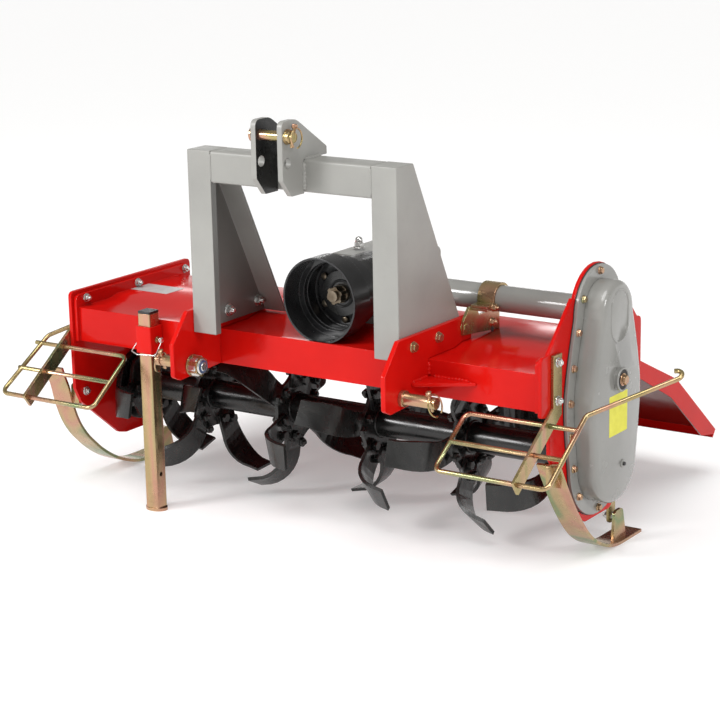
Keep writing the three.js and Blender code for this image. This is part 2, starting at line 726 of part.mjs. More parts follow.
// A deep round cup, stepped to a narrower throat, whose floor is a ring around the gearbox boss. Its
// wall is flattened underneath, where it lies over the deck.
function ptoShield() {
  const inner = SHIELD_R - SHIELD_WALL;
  const seat = BOSS_R + 1;
  const profile = [
    [SHIELD_R, SHIELD_FRONT_Y],
    [SHIELD_R, SHIELD_LEDGE_Y + SHIELD_WALL],
    [SHIELD_THROAT_R + SHIELD_WALL, SHIELD_LEDGE_Y + SHIELD_WALL],
    [SHIELD_THROAT_R + SHIELD_WALL, SHIELD_REAR_Y],
    [seat, SHIELD_REAR_Y],
    [seat, SHIELD_REAR_Y - SHIELD_WALL],
    [SHIELD_THROAT_R, SHIELD_REAR_Y - SHIELD_WALL],
    [SHIELD_THROAT_R, SHIELD_LEDGE_Y],
    [inner, SHIELD_LEDGE_Y],
    [inner, SHIELD_FRONT_Y],
    [SHIELD_R, SHIELD_FRONT_Y],
  ].map(([radius, y]) => new THREE.Vector2(radius, y));
  const cup = new THREE.LatheGeometry(profile, 48).translate(0, 0, DRIVE_Z);
  const deckRoom = DECK_FRONT_Z + GAP;
  const depth = [SHIELD_FRONT_Y - 1, SHIELD_REAR_Y + 1];
  return cut(cup, box(-SHIELD_R, SHIELD_R, ...depth, deckRoom - SHIELD_R, deckRoom));
}

function clampStrap() {
  const inner = SIDE_TUBE_R + GAP;
  const outer = inner + CLAMP_STRAP;
  const shape = new THREE.Shape();
  shape.moveTo(AXIS_Y + outer + CLAMP_FOOT, DRIVE_Z - 10);
  shape.lineTo(AXIS_Y + outer + CLAMP_FOOT, DRIVE_Z - 10 + CLAMP_STRAP);
  shape.lineTo(AXIS_Y + outer, DRIVE_Z - 10 + CLAMP_STRAP);
  shape.lineTo(AXIS_Y + outer, DRIVE_Z);
  shape.absarc(AXIS_Y, DRIVE_Z, outer, 0, Math.PI, false);
  shape.lineTo(AXIS_Y - outer, DRIVE_Z - 10 + CLAMP_STRAP);
  shape.lineTo(AXIS_Y - outer - CLAMP_FOOT, DRIVE_Z - 10 + CLAMP_STRAP);
  shape.lineTo(AXIS_Y - outer - CLAMP_FOOT, DRIVE_Z - 10);
  shape.lineTo(AXIS_Y - inner, DRIVE_Z - 10);
  shape.lineTo(AXIS_Y - inner, DRIVE_Z);
  shape.absarc(AXIS_Y, DRIVE_Z, inner, Math.PI, 0, true);
  shape.lineTo(AXIS_Y + inner, DRIVE_Z - 10);
  shape.closePath();
  return plateX(shape, CLAMP_X, CLAMP_X + CLAMP_WIDTH, 12);
}

// The clamp's carrier: a plate on the hitch plate, and a shelf under each foot of the strap.
function clampBracket() {
  const inner = SIDE_TUBE_R + GAP;
  const reach = inner + CLAMP_STRAP + CLAMP_FOOT;
  const shelfTop = DRIVE_Z - 10 - GAP;
  const plateX0 = HITCH_OUT + GAP;
  const cheek = outline([
    [AXIS_Y - reach - 22, HITCH_TOP_Z - 33],
    [AXIS_Y + reach, DECK_TOP_Z + GAP],
    [AXIS_Y + reach, shelfTop, 4],
    [AXIS_Y + inner + 3, shelfTop, 4],
    [AXIS_Y + inner - 4, DRIVE_Z - SIDE_TUBE_R - 6, 4],
    [AXIS_Y - inner + 4, DRIVE_Z - SIDE_TUBE_R - 6, 4],
    [AXIS_Y - inner - 3, shelfTop, 4],
    [AXIS_Y - reach, shelfTop, 4],
    [AXIS_Y - reach - 22, HITCH_TOP_Z - 8, 4],
  ]);
  const shelfEnd = CLAMP_X + CLAMP_WIDTH;
  const shelf = (y0, y1) => box(plateX0, shelfEnd, y0, y1, shelfTop - CLAMP_STRAP, shelfTop);
  return join(
    plateX(cheek, plateX0, plateX0 + CLAMP_PLATE),
    shelf(AXIS_Y - reach, AXIS_Y - inner - 3),
    shelf(AXIS_Y + inner + 3, AXIS_Y + reach),
  );
}

add("gearbox", gearbox(), GREY);
add("pto_shaft", ptoShaft(), STEEL);
add("pto_shield", ptoShield(), PLASTIC);
const TUBE_LEFT = GEARBOX_HALF + GAP;
add("side_tube", cylinderX(SIDE_TUBE_R, TUBE_LEFT, RIGHT_PLATE_IN - GAP, AXIS_Y, DRIVE_Z, 36), GREY);
add("clamp_strap", clampStrap(), ZINC);
add("clamp_bracket", clampBracket(), ZINC);

// ---------------------------------------------------------------- rotor
function leftHousing() {
  const inside = DECK_LEFT - GAP;
  const barrelOut = LEFT_PLATE_OUT - LEFT_BARREL_LENGTH / 2;
  return cut(
    join(
      cylinderX(LEFT_HOUSING_R, inside + GAP, inside + GAP + LEFT_HOUSING_THICK, AXIS_Y, ROTOR_Z, 36),
      cylinderX(BEARING_BORE_R - GAP, barrelOut, inside + 2, AXIS_Y, ROTOR_Z, 32),
    ),
    cylinderX(ROTOR_STUB_R + PIN_GAP, LEFT_PLATE_OUT, inside + 40, AXIS_Y, ROTOR_Z, 28),
  );
}

function rightHousing() {
  const outside = RIGHT_PLATE_IN - GAP;
  return cut(
    cylinderX(HUB_R, outside - HUB_LENGTH, outside, AXIS_Y, ROTOR_Z, 32),
    cylinderX(ROTOR_STUB_R + PIN_GAP, outside - HUB_LENGTH - 1, outside + 1, AXIS_Y, ROTOR_Z, 28),
  );
}

function rotorTube() {
  return join(
    cylinderX(ROTOR_TUBE_R, ROTOR_LEFT, ROTOR_RIGHT, AXIS_Y, ROTOR_Z, 32),
    cylinderX(ROTOR_STUB_R, LEFT_PLATE_OUT + 2, ROTOR_LEFT + 2, AXIS_Y, ROTOR_Z, 28),
    cylinderX(ROTOR_STUB_R, ROTOR_RIGHT - 2, RIGHT_PLATE_IN - 2, AXIS_Y, ROTOR_Z, 28),
  );
}

// One blade, standing along +Z from the rotor's axis: a straight root on the flange's face, a bend
// to one side, and a tip that trails the turning direction, with its leading edge pitched outwards.
function tine(side, rootX) {
  const bendRad = THREE.MathUtils.degToRad(TINE_BEND_DEG);
  const pitchRad = THREE.MathUtils.degToRad(TINE_PITCH_DEG);
  const bendSteps = 7;
  const stations = [
    { x: 0, r: TINE_ROOT_R, turn: 0, width: 0.9 },
    { x: 0, r: TINE_BEND_START_R, turn: 0, width: 1 },
  ];
  for (let i = 1; i <= bendSteps; i++) {
    const turn = (bendRad * i) / bendSteps;
    stations.push({
      x: TINE_BEND_R * (1 - Math.cos(turn)),
      r: TINE_BEND_START_R + TINE_BEND_R * Math.sin(turn),
      turn,
      width: 1 + 0.14 * Math.sin((Math.PI * i) / bendSteps),
    });
  }
  const bent = stations.at(-1);
  stations.push({
    x: bent.x + TINE_TIP_LENGTH * Math.sin(bendRad),
    r: bent.r + TINE_TIP_LENGTH * Math.cos(bendRad),
    turn: bendRad,
    width: 1,
  });
  const reach = stations.at(-1).r - TINE_ROOT_R;
  const rings = stations.map(({ x, r, turn, width }) => {
    const half = (TINE_WIDTH * width) / 2;
    const trail = TINE_SWEEP * ((r - TINE_ROOT_R) / reach) ** 2;
    const normal = new THREE.Vector3(Math.cos(turn) * side, 0, -Math.sin(turn));
    const pitch = pitchRad * (turn / bendRad);
    const blade = new THREE.Vector3(0, Math.cos(pitch), -Math.sin(pitch));
    const centre = new THREE.Vector3(rootX + side * (x + TINE_THICK / 2), trail, r);
    const corner = (across, through) => {
      const onFace = centre.clone().addScaledVector(normal, (through * TINE_THICK) / 2);
      return onFace.addScaledVector(blade, across * half);
    };
    const ring = [corner(-1, -1), corner(-1, 1), corner(1, 1), corner(1, -1)];
    return side > 0 ? ring : ring.reverse();
  });
  return loft(rings);
}

// A flange with a lobe for each blade; an end flange has blades on its inner face only.
function tineSet(x, phaseDeg, faces) {
  const half = TINE_FLANGE_THICK / 2;
  const points = Array.from({ length: 48 }, (_, i) => {
    const angle = (i / 48) * 2 * Math.PI;
    const radius = TINE_FLANGE_R * (0.94 - 0.06 * Math.cos(TINES_A_FLANGE * angle));
    return new THREE.Vector2(radius * Math.cos(angle), radius * Math.sin(angle));
  });
  const disc = new THREE.Shape(points);
  const reach = 2 * TINE_FLANGE_THICK;
  const bore = cylinderX(ROTOR_TUBE_R + GAP, x - reach, x + reach, 0, 0);
  const pieces = [plateX(disc, x - half, x + half)];
  faces.forEach((side, place) => {
    if (side === 0) return;
    const root = x + side * (half - 0.2);
    pieces.push(tine(side, root).rotateX((place * 2 * Math.PI) / TINES_A_FLANGE));
  });
  const turned = join(...pieces).rotateX(THREE.MathUtils.degToRad(phaseDeg));
  return cut(turned, bore).translate(0, AXIS_Y, ROTOR_Z);
}

const ROTOR_LEFT = DECK_LEFT + ROTOR_END_ROOM;
const ROTOR_RIGHT = DECK_RIGHT - ROTOR_END_ROOM;
const TINE_FLANGES = [
  ROTOR_LEFT + END_FLANGE_INSET,
  ...Array.from({ length: FULL_FLANGES }, (_, i) => FULL_FLANGE_START + i * FULL_FLANGE_PITCH),
  ROTOR_RIGHT - LAST_FLANGE_INSET,
];

add("left_bearing_housing", leftHousing(), BLACK);
add("right_bearing_housing", rightHousing(), BLACK);
add("rotor_tube", rotorTube(), BLACK);
TINE_FLANGES.forEach((x, i) => {
  const first = i === 0;
  const last = i === TINE_FLANGES.length - 1;
  const faces = first ? [0, 1, 0, 1, 0, 1] : last ? [-1, 0, -1, 0, -1, 0] : [-1, 1, -1, 1, -1, 1];
  add("tine_set_" + (i + 1), tineSet(x, TINE_PHASE_DEG[i], faces), BLACK);
});

// ---------------------------------------------------------------- parking stand
const STAND_Y = DECK_FRONT_Y - GAP - SLEEVE_OUTER / 2;

// A square tube along Z; without an inner width it is a solid block.
function squareTube(outer, inner, z0, z1) {
  const half = outer / 2;
  const bore = inner / 2;
  const shape = outline([
    [-half, -half, 3],
    [half, -half, 3],
    [half, half, 3],
    [-half, half, 3],
  ]);
  const block = new THREE.ExtrudeGeometry(shape, { depth: z1 - z0, bevelEnabled: false, curveSegments: 4 });
  const tube = inner > 0 ? cut(block, box(-bore, bore, -bore, bore, -1, z1 - z0 + 1)) : block;
  return tube.translate(STAND_X, STAND_Y, z0);
}

function standTube() {
  const foot = new THREE.CylinderGeometry(1, 1, STAND_FOOT_THICK, 28)
    .rotateX(Math.PI / 2)
    .scale(STAND_FOOT_X / 2, STAND_FOOT_Y / 2, 1)
    .translate(STAND_X, STAND_Y, STAND_FOOT_THICK / 2);
  const tube = squareTube(STAND_TUBE, STAND_TUBE - 2 * STAND_WALL, STAND_FOOT_THICK - 0.5, STAND_TOP_Z);
  const bored = [STAND_X - STAND_TUBE, STAND_X + STAND_TUBE];
  const storeHole = cylinderX(STAND_PIN_R + PIN_GAP, ...bored, STAND_Y, STORE_HOLE_Z, 16);
  return cut(join(tube, foot), storeHole);
}

function standCap() {
  return join(
    squareTube(STAND_TUBE, 0, STAND_TOP_Z + GAP, STAND_TOP_Z + CAP_HEIGHT),
    squareTube(STAND_TUBE - 2 * STAND_WALL - 2 * GAP - 1, 0, STAND_TOP_Z - 12, STAND_TOP_Z + 1),
  );
}

function standPin() {
  const outside = STAND_X + SLEEVE_OUTER / 2;
  const inside = STAND_X + STAND_TUBE / 2 + PIN_GAP;
  return join(
    cylinderX(STAND_PIN_R, inside, outside + STAND_PIN_HEAD, STAND_Y, STAND_PIN_Z, 16),
    cylinderX(STAND_PIN_R + 3, outside + GAP, outside + 3, STAND_Y, STAND_PIN_Z, 20),
  );
}

function standSleeve() {
  const tube = squareTube(SLEEVE_OUTER, STAND_TUBE + 2 * PIN_GAP, SLEEVE_BOTTOM_Z, SLEEVE_TOP_Z);
  const pinHole = cylinderX(STAND_PIN_R + PIN_GAP, STAND_X, STAND_X + SLEEVE_OUTER, STAND_Y, STAND_PIN_Z, 16);
  return cut(tube, pinHole);
}

add("stand_sleeve", standSleeve(), RED);
add("stand_pin", standPin(), ZINC);
add("stand_tube", standTube(), ZINC);
add("stand_cap", standCap(), PLASTIC);

// ---------------------------------------------------------------- skids
// A strap along a smooth middle line through [y, z] knots, kept above the floor, with a pad at its
// front that lies on the end plate and a lug at its tail.
function skid(knots, x0, [earIn, earOut]) {
  const curve = new THREE.SplineCurve(knots.map(([y, z]) => new THREE.Vector2(y, z)));
  const line = curve.getPoints(36).map((point) => [point.x, Math.max(point.y, SKID_THICK / 2)]);
  const pad = outline([
    [SKID_BOLT_Y - 14, SKID_BOLT_Z - 26],
    [SKID_BOLT_Y + 36, SKID_BOLT_Z - 42],
    [SKID_BOLT_Y + 34, SKID_BOLT_Z + 4, 8],
    [SKID_BOLT_Y - 14, SKID_BOLT_Z + 16, 8],
  ]);
  const lug = outline([
    [SKID_LUG_Y - 22, SKID_THICK / 2],
    [SKID_LUG_Y + 30, SKID_THICK / 2],
    [SKID_LUG_Y + 16, 64, 12],
    [SKID_LUG_Y - 16, 64, 12],
  ]);
  return join(
    plateX(sheetOutline(line, SKID_THICK), x0, x0 + SKID_WIDTH),
    plateX(pad, earIn, earOut),
    plateX(lug, earIn, earOut),
  );
}

function upright(x0, x1) {
  const shape = outline([
    [SKID_LUG_Y - UPRIGHT_WIDTH / 2, 36, 10],
    [SKID_LUG_Y + UPRIGHT_WIDTH / 2, 36, 10],
    [SKID_LUG_Y + UPRIGHT_WIDTH / 2, UPRIGHT_TOP_Z, 10],
    [SKID_LUG_Y - UPRIGHT_WIDTH / 2, UPRIGHT_TOP_Z, 10],
  ]);
  return plateX(shape, x0, x1);
}

const LEFT_SKID_LINE = [
  [58, 262],
  [66, 240],
  [75, 218],
  [85, 180],
  [101, 140],
  [122, 108],
  [145, 84],
  [172, 60],
  [204, 38],
  [240, 20],
  [285, 6],
  [335, 3],
  [430, 3],
];
const RIGHT_SKID_LINE = [
  [107, 216],
  [135, 168],
  [174, 109],
  [217, 59],
  [254, 31],
  [296, 12],
  [335, 4],
  [380, 3],
  [430, 3],
];
const LEFT_SKID_OUT = LEFT_PLATE_OUT - LEFT_SKID_SPACER - SKID_WIDTH;
const LEFT_PAD = [LEFT_PLATE_OUT - LEFT_SKID_SPACER - 4, LEFT_PLATE_OUT - GAP];
const RIGHT_PAD = [RIGHT_PLATE_OUT + GAP, RIGHT_PLATE_OUT + GAP + 6];
const RIGHT_UPRIGHT_OUT = RIGHT_PLATE_IN - GAP;
add("left_skid", skid(LEFT_SKID_LINE, LEFT_SKID_OUT, LEFT_PAD), ZINC);
add("left_skid_upright", upright(LEFT_PAD[0] - 6 - GAP, LEFT_PAD[0] - GAP), ZINC);
add("right_skid", skid(RIGHT_SKID_LINE, RIGHT_PLATE_IN - RIGHT_SKID_INSET, RIGHT_PAD), ZINC);
add("right_skid_upright", upright(RIGHT_UPRIGHT_OUT - 6, RIGHT_UPRIGHT_OUT), ZINC);

// ---------------------------------------------------------------- front guards
// A flat bar bolted upright to the end plate, whose lower leg reaches forwards and carries the rods.
function guardBar(x0, bend, end, rods) {
  const line = sheetOutline([[bend[0], PLATE_TOP_Z - 2], bend, end], GUARD_BAR_WIDTH);
  const bar = plateX(line, x0, x0 + GUARD_BAR_THICK);
  const holes = rods.map(([y, z]) =>
    cylinderX(GUARD_ROD_R + GAP, x0 - 1, x0 + GUARD_BAR_THICK + 1, y, z, 16),
  );
  return cut(bar, ...holes);
}

// The places of the three rods along the bar's lower leg, measured from its end.
function rodPlaces(bend, end) {
  const along = new THREE.Vector2(bend[0] - end[0], bend[1] - end[1]).normalize();
  return GUARD_ROD_PLACES.map((reach) => [end[0] + along.x * reach, end[1] + along.y * reach]);
}

// One rod bent round the frame, from its tail down one side, along the bottom, up the other side and
// back along the top, with a second rod across the middle.
function guardFrame(tailX, farX, rods, tail) {
  const [low, middle, high] = rods;
  const around = [...tail, [tailX, ...low], [farX, ...low], [farX, ...high], [tailX, ...high]];
  return join(
    rod(around, GUARD_ROD_R, GUARD_BEND),
    rod([[tailX, ...middle], [farX, ...middle]], GUARD_ROD_R, GUARD_BEND),
  );
}

const RIGHT_RODS = rodPlaces(RIGHT_BAR_BEND, RIGHT_BAR_END);
const LEFT_RODS = rodPlaces(LEFT_BAR_BEND, LEFT_BAR_END);
const RIGHT_GUARD_OUT = RIGHT_PLATE_OUT + RIGHT_GUARD_OUTWARD;
const LEFT_GUARD_OUT = LEFT_PLATE_OUT - LEFT_GUARD_OUTWARD;
// A point of a guard's plane: its X, and how far it lies along the bar from its end.
function onGuard(bend, end, x, reach, ...radius) {
  const length = Math.hypot(bend[0] - end[0], bend[1] - end[1]);
  const share = reach / length;
  return [x, end[0] + (bend[0] - end[0]) * share, end[1] + (bend[1] - end[1]) * share, ...radius];
}

const onRight = (x, ...rest) => onGuard(RIGHT_BAR_BEND, RIGHT_BAR_END, RIGHT_PLATE_OUT + x, ...rest);
const onLeft = (x, ...rest) => onGuard(LEFT_BAR_BEND, LEFT_BAR_END, LEFT_PLATE_OUT + x, ...rest);
const RIGHT_TAIL = [
  onRight(...HOOK_END),
  onRight(...HOOK_CORNER, HOOK_BEND),
  onRight(RIGHT_GUARD_OUTWARD, RIGHT_TAIL_CORNER),
];
const LEFT_TAIL = [onLeft(...LEFT_TAIL_END), onLeft(...LEFT_TAIL_CORNER)];
const LEFT_BAR_X = LEFT_PLATE_OUT - GAP - GUARD_BAR_THICK;
add("right_guard_bar", guardBar(RIGHT_PLATE_OUT + GAP, RIGHT_BAR_BEND, RIGHT_BAR_END, RIGHT_RODS), ZINC);
add("left_guard_bar", guardBar(LEFT_BAR_X, LEFT_BAR_BEND, LEFT_BAR_END, LEFT_RODS), ZINC);
const RIGHT_GUARD_IN = RIGHT_PLATE_OUT - RIGHT_GUARD_INWARD;
const LEFT_GUARD_IN = LEFT_PLATE_OUT + LEFT_GUARD_INWARD;
add("right_guard_frame", guardFrame(RIGHT_GUARD_OUT, RIGHT_GUARD_IN, RIGHT_RODS, RIGHT_TAIL), ZINC);
add("left_guard_frame", guardFrame(LEFT_GUARD_OUT, LEFT_GUARD_IN, LEFT_RODS, LEFT_TAIL), ZINC);

// ---------------------------------------------------------------- rear board
const BOARD_LEFT = DECK_LEFT + BOARD_SIDE_GAP;
const BOARD_RIGHT = DECK_RIGHT - BOARD_SIDE_GAP;

function rearBoard() {
  const hinge = new THREE.Vector2(HINGE_Y, HINGE_Z);
  const knee = new THREE.Vector2(BOARD_KNEE_Y, BOARD_KNEE_Z);
  const tip = new THREE.Vector2(BOARD_TIP_Y, BOARD_TIP_Z);
  const upper = knee.clone().sub(hinge).normalize();
  const lower = tip.clone().sub(knee).normalize();
  const under = (along) => new THREE.Vector2(along.y, -along.x);
  const place = (from, along, reach, depth) =>
    from.clone().addScaledVector(along, reach).addScaledVector(under(along), depth);
  const pairs = (points) => points.map((point) => point.toArray());
  const sheet = sheetOutline(pairs([hinge, knee, tip, place(tip, lower, 0, BOARD_LIP)]), BOARD_SHEET);
  const cheek = new THREE.Shape([
    place(hinge, upper, 18, 0),
    place(hinge, upper, 42, BOARD_FLANGE * 0.8),
    place(knee, upper, -BOARD_FLANGE * 0.2, BOARD_FLANGE),
    place(tip, lower, -52, BOARD_FLANGE),
    place(tip, lower, 0, BOARD_LIP * 0.6),
    tip,
    knee,
  ]);
  const width = BOARD_RIGHT - BOARD_LEFT;
  const knuckles = [0.03, 0.46, 0.89].map((share) => {
    const x0 = BOARD_LEFT + share * width;
    return cylinderX(KNUCKLE_R, x0, x0 + 0.08 * width, HINGE_Y, HINGE_Z, 24);
  });
  return cut(
    join(
      plateX(sheet, BOARD_LEFT, BOARD_RIGHT),
      plateX(cheek, BOARD_LEFT, BOARD_LEFT + BOARD_SHEET),
      plateX(cheek, BOARD_RIGHT - BOARD_SHEET, BOARD_RIGHT),
      ...knuckles,
    ),
    cylinderX(HINGE_ROD_R + PIN_GAP, BOARD_LEFT - 1, BOARD_RIGHT + 1, HINGE_Y, HINGE_Z, 24),
  );
}

add("rear_board", rearBoard(), RED);
add("rear_hinge_rod", cylinderX(HINGE_ROD_R, DECK_LEFT, DECK_RIGHT, HINGE_Y, HINGE_Z, 20), ZINC);

// --------------------------------------------------------------- origin: middle of the footprint, on the floor
const bounds = new THREE.Box3().setFromObject(tiller);
const middle = bounds.getCenter(new THREE.Vector3());
tiller.position.set(-middle.x, -middle.y, -bounds.min.z);
const part = new THREE.Group();
part.add(tiller);

export default part;
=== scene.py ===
"""Looks of the rotary tiller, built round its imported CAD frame."""

import json
import math

import bmesh
import bpy
from mathutils import Matrix, Vector

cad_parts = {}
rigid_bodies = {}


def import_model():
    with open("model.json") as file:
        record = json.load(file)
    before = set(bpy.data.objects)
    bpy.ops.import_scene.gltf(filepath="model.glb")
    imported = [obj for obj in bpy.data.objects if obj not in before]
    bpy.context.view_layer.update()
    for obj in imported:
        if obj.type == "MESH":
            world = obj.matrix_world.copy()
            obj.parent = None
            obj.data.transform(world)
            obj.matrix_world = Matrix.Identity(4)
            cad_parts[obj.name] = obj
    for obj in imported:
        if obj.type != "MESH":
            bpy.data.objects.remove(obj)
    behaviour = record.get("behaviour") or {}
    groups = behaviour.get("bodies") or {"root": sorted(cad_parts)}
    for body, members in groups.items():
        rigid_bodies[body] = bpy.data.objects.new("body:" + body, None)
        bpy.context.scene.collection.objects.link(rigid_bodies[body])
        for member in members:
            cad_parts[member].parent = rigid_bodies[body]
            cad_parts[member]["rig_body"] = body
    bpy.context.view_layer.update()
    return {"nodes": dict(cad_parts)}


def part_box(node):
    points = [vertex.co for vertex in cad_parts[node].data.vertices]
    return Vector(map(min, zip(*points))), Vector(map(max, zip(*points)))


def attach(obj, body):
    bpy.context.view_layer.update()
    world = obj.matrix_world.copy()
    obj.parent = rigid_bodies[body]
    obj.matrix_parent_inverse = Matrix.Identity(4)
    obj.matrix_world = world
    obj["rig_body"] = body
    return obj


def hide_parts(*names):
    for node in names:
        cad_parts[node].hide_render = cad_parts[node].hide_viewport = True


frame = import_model()
MM = 0.001

# ---------------------------------------------------------------- places, from the frame's own boxes

BEAM_LOW, BEAM_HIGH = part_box("mast_beam")
LEG_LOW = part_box("left_mast_leg")[0]
MAST_X = (BEAM_LOW.x + BEAM_HIGH.x) / 2
MAST_FRONT_Y = LEG_LOW.y
MAST_FOOT_Z = LEG_LOW.z
TUBE_LOW, TUBE_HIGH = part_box("rotor_tube")
ROTOR_AXIS = (TUBE_LOW + TUBE_HIGH) / 2
SIDE_LOW, SIDE_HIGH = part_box("side_tube")
DRIVE_AXIS = (SIDE_LOW + SIDE_HIGH) / 2
FLANGE_LOW, FLANGE_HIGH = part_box("case_flange")
COVER_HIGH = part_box("case_cover")[1]
DECK_LOW, DECK_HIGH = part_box("deck")

X, Y, Z = Vector((1, 0, 0)), Vector((0, 1, 0)), Vector((0, 0, 1))


def spot(x, y, z):
    """A place in millimetres from the middle of the mast's front, on the floor."""
    return Vector((MAST_X + x * MM, MAST_FRONT_Y + y * MM, z * MM))


def beside(face_x, y, z):
    """A spot whose X is that of a face in the frame."""
    return Vector((face_x, MAST_FRONT_Y + y * MM, z * MM))


# ---------------------------------------------------------------- materials


class Paint:
    """A node material whose texture follows the object, with softened edges."""

    def __init__(self, name, edge_mm=1.2):
        self.material = bpy.data.materials.new(name)
        self.material.use_nodes = True
        self.tree = self.material.node_tree
        self.shader = self.tree.nodes["Principled BSDF"]
        self.place = self.node("ShaderNodeTexCoord").outputs["Object"]
        self.edge = self.node("ShaderNodeBevel", samples=4)
        self.edge.inputs["Radius"].default_value = edge_mm * MM
        self.normal = self.edge.outputs["Normal"]

    def node(self, kind, **settings):
        """Adds a shader node with its settings."""
        made = self.tree.nodes.new(kind)
        for key, value in settings.items():
            setattr(made, key, value)
        return made

    def link(self, source, target):
        """Joins an output to an input."""
        self.tree.links.new(source, target)

    def fix(self, **values):
        """Sets values of the shader, named with _ for each space."""
        for key, value in values.items():
            self.shader.inputs[key.replace("_", " ")].default_value = value

    def noise(self, scale, detail=3, stretch=(1, 1, 1), distortion=0.0):
        """A value that drifts over the object, closer together along a stretched axis."""
        mapping = self.node("ShaderNodeMapping")
        mapping.inputs["Scale"].default_value = stretch
        self.link(self.place, mapping.inputs["Vector"])
        made = self.node("ShaderNodeTexNoise")
        made.inputs["Scale"].default_value = scale
        made.inputs["Detail"].default_value = detail
        made.inputs["Distortion"].default_value = distortion
        self.link(mapping.outputs["Vector"], made.inputs["Vector"])
        return made.outputs["Fac"]

    def ramp(self, value, stops):
        """Colours or greys along a value, from (place, colour) pairs."""
        made = self.node("ShaderNodeValToRGB")
        marks = made.color_ramp.elements
        while len(marks) < len(stops):
            marks.new(0.5)
        for mark, (place, colour) in zip(marks, stops):
            mark.position = place
            mark.color = (*colour, 1) if isinstance(colour, tuple) else (colour, colour, colour, 1)
        self.link(value, made.inputs["Fac"])
        return made.outputs["Color"]

    def mix(self, amount, first, second):
        """The first colour, turning into the second as the amount goes from 0 to 1."""
        made = self.node("ShaderNodeMix", data_type="RGBA")
        self.link(amount, made.inputs["Factor"])
        for socket, value in ((made.inputs[6], first), (made.inputs[7], second)):
            if isinstance(value, tuple):
                socket.default_value = (*value, 1)
            else:
                self.link(value, socket)
        return made.outputs[2]

    def wear(self, low=0.02, high=0.2):
        """Nearly 1 along the sharp edges and 0 on the flats."""
        true = self.node("ShaderNodeNewGeometry").outputs["Normal"]
        dot = self.node("ShaderNodeVectorMath", operation="DOT_PRODUCT")
        self.link(self.edge.outputs["Normal"], dot.inputs[0])
        self.link(true, dot.inputs[1])
        turned = self.node("ShaderNodeMath", operation="SUBTRACT")
        turned.inputs[0].default_value = 1
        self.link(dot.outputs["Value"], turned.inputs[1])
        return self.ramp(turned.outputs["Value"], [(low, 0.0), (high, 1.0)])

    def bump(self, height, strength, distance_mm):
        """Adds fine relief to the surface's normal."""
        made = self.node("ShaderNodeBump")
        made.inputs["Strength"].default_value = strength
        made.inputs["Distance"].default_value = distance_mm * MM
        self.link(height, made.inputs["Height"])
        self.link(self.normal, made.inputs["Normal"])
        self.normal = made.outputs["Normal"]

    def done(self, colour, roughness):
        """Joins colour, roughness and normal to the shader."""
        for value, name in ((colour, "Base Color"), (roughness, "Roughness"), (self.normal, "Normal")):
            self.link(value, self.shader.inputs[name])
        return self.material


def shaded(colour, shade):
    """A colour with every part made darker or lighter alike."""
    return tuple(shade * part for part in colour)


def red_paint(name="red_paint", shade=1.0):
    """Glossy red with a slight waviness, a little lighter along the edges."""
    paint = Paint(name, 1.6)
    broad = paint.noise(5, 4)
    # A shade below 1 darkens the whole red; the rear board's inner face uses this as painted shade.
    dark, light = (0.48 * shade, 0.004, 0.003), (0.62 * shade, 0.008, 0.005)
    colour = paint.ramp(broad, [(0.3, dark), (0.7, light)])
    worn = paint.mix(paint.wear(0.06, 0.5), colour, (0.74, 0.03, 0.02))
    paint.bump(paint.noise(38, 2), 0.10, 0.5)
    paint.bump(paint.noise(420, 2), 0.05, 0.08)
    paint.fix(Coat_Weight=0.05, Coat_Roughness=0.03, Specular_IOR_Level=0.12)
    return paint.done(worn, paint.ramp(paint.noise(14, 5), [(0.3, 0.07), (0.75, 0.17)]))


def grey_paint(name="grey_paint", coat=0.12, low=0.36, high=0.5, shade=1.0):
    """Satin grey, duller in small spots; low and high are its roughness."""
    paint = Paint(name, 1.8)
    # A shade of 0.8 gives the enamel its own darker grey; 0.5 gives painted shade for the legs' inner
    # faces.
    dark, light = shaded((0.275, 0.272, 0.255), shade), shaded((0.325, 0.321, 0.300), shade)
    colour = paint.ramp(paint.noise(7, 5), [(0.3, dark), (0.7, light)])
    dust = paint.ramp(paint.noise(60, 6), [(0.58, 0.0), (0.9, 0.25)])
    dusty = paint.mix(dust, colour, shaded((0.22, 0.215, 0.20), shade))
    paint.bump(paint.noise(260, 3), 0.16, 0.12)
    paint.fix(Coat_Weight=coat, Coat_Roughness=low / 2)
    return paint.done(dusty, paint.ramp(paint.noise(22, 4), [(0.3, low), (0.75, high)]))


def black_paint():
    """Black in faint streaks, paler along the edges."""
    paint = Paint("black_paint", 1.4)
    streaks = paint.noise(18, 6, (1, 3, 1), 0.6)
    colour = paint.ramp(streaks, [
        (0.35, (0.006, 0.006, 0.006)),
        (0.64, (0.016, 0.016, 0.015)),
        (0.88, (0.05, 0.048, 0.042)),
    ])
    worn = paint.mix(paint.wear(0.05, 0.4), colour, (0.07, 0.068, 0.062))
    paint.bump(paint.noise(90, 3), 0.10, 0.12)
    paint.fix(Specular_IOR_Level=0.5)
    return paint.done(worn, paint.ramp(paint.noise(26, 6, (1, 2, 1)), [(0.3, 0.17), (0.7, 0.34)]))


def black_plastic():
    """Moulded plastic with a slight sheen."""
    paint = Paint("black_plastic", 1.6)
    colour = paint.ramp(paint.noise(30, 5), [(0.35, (0.010, 0.010, 0.011)), (0.75, (0.026, 0.026, 0.027))])
    paint.bump(paint.noise(160, 3, (1, 5, 1)), 0.12, 0.12)
    paint.fix(Specular_IOR_Level=0.5)
    return paint.done(colour, paint.ramp(paint.noise(20, 5), [(0.3, 0.14), (0.75, 0.30)]))


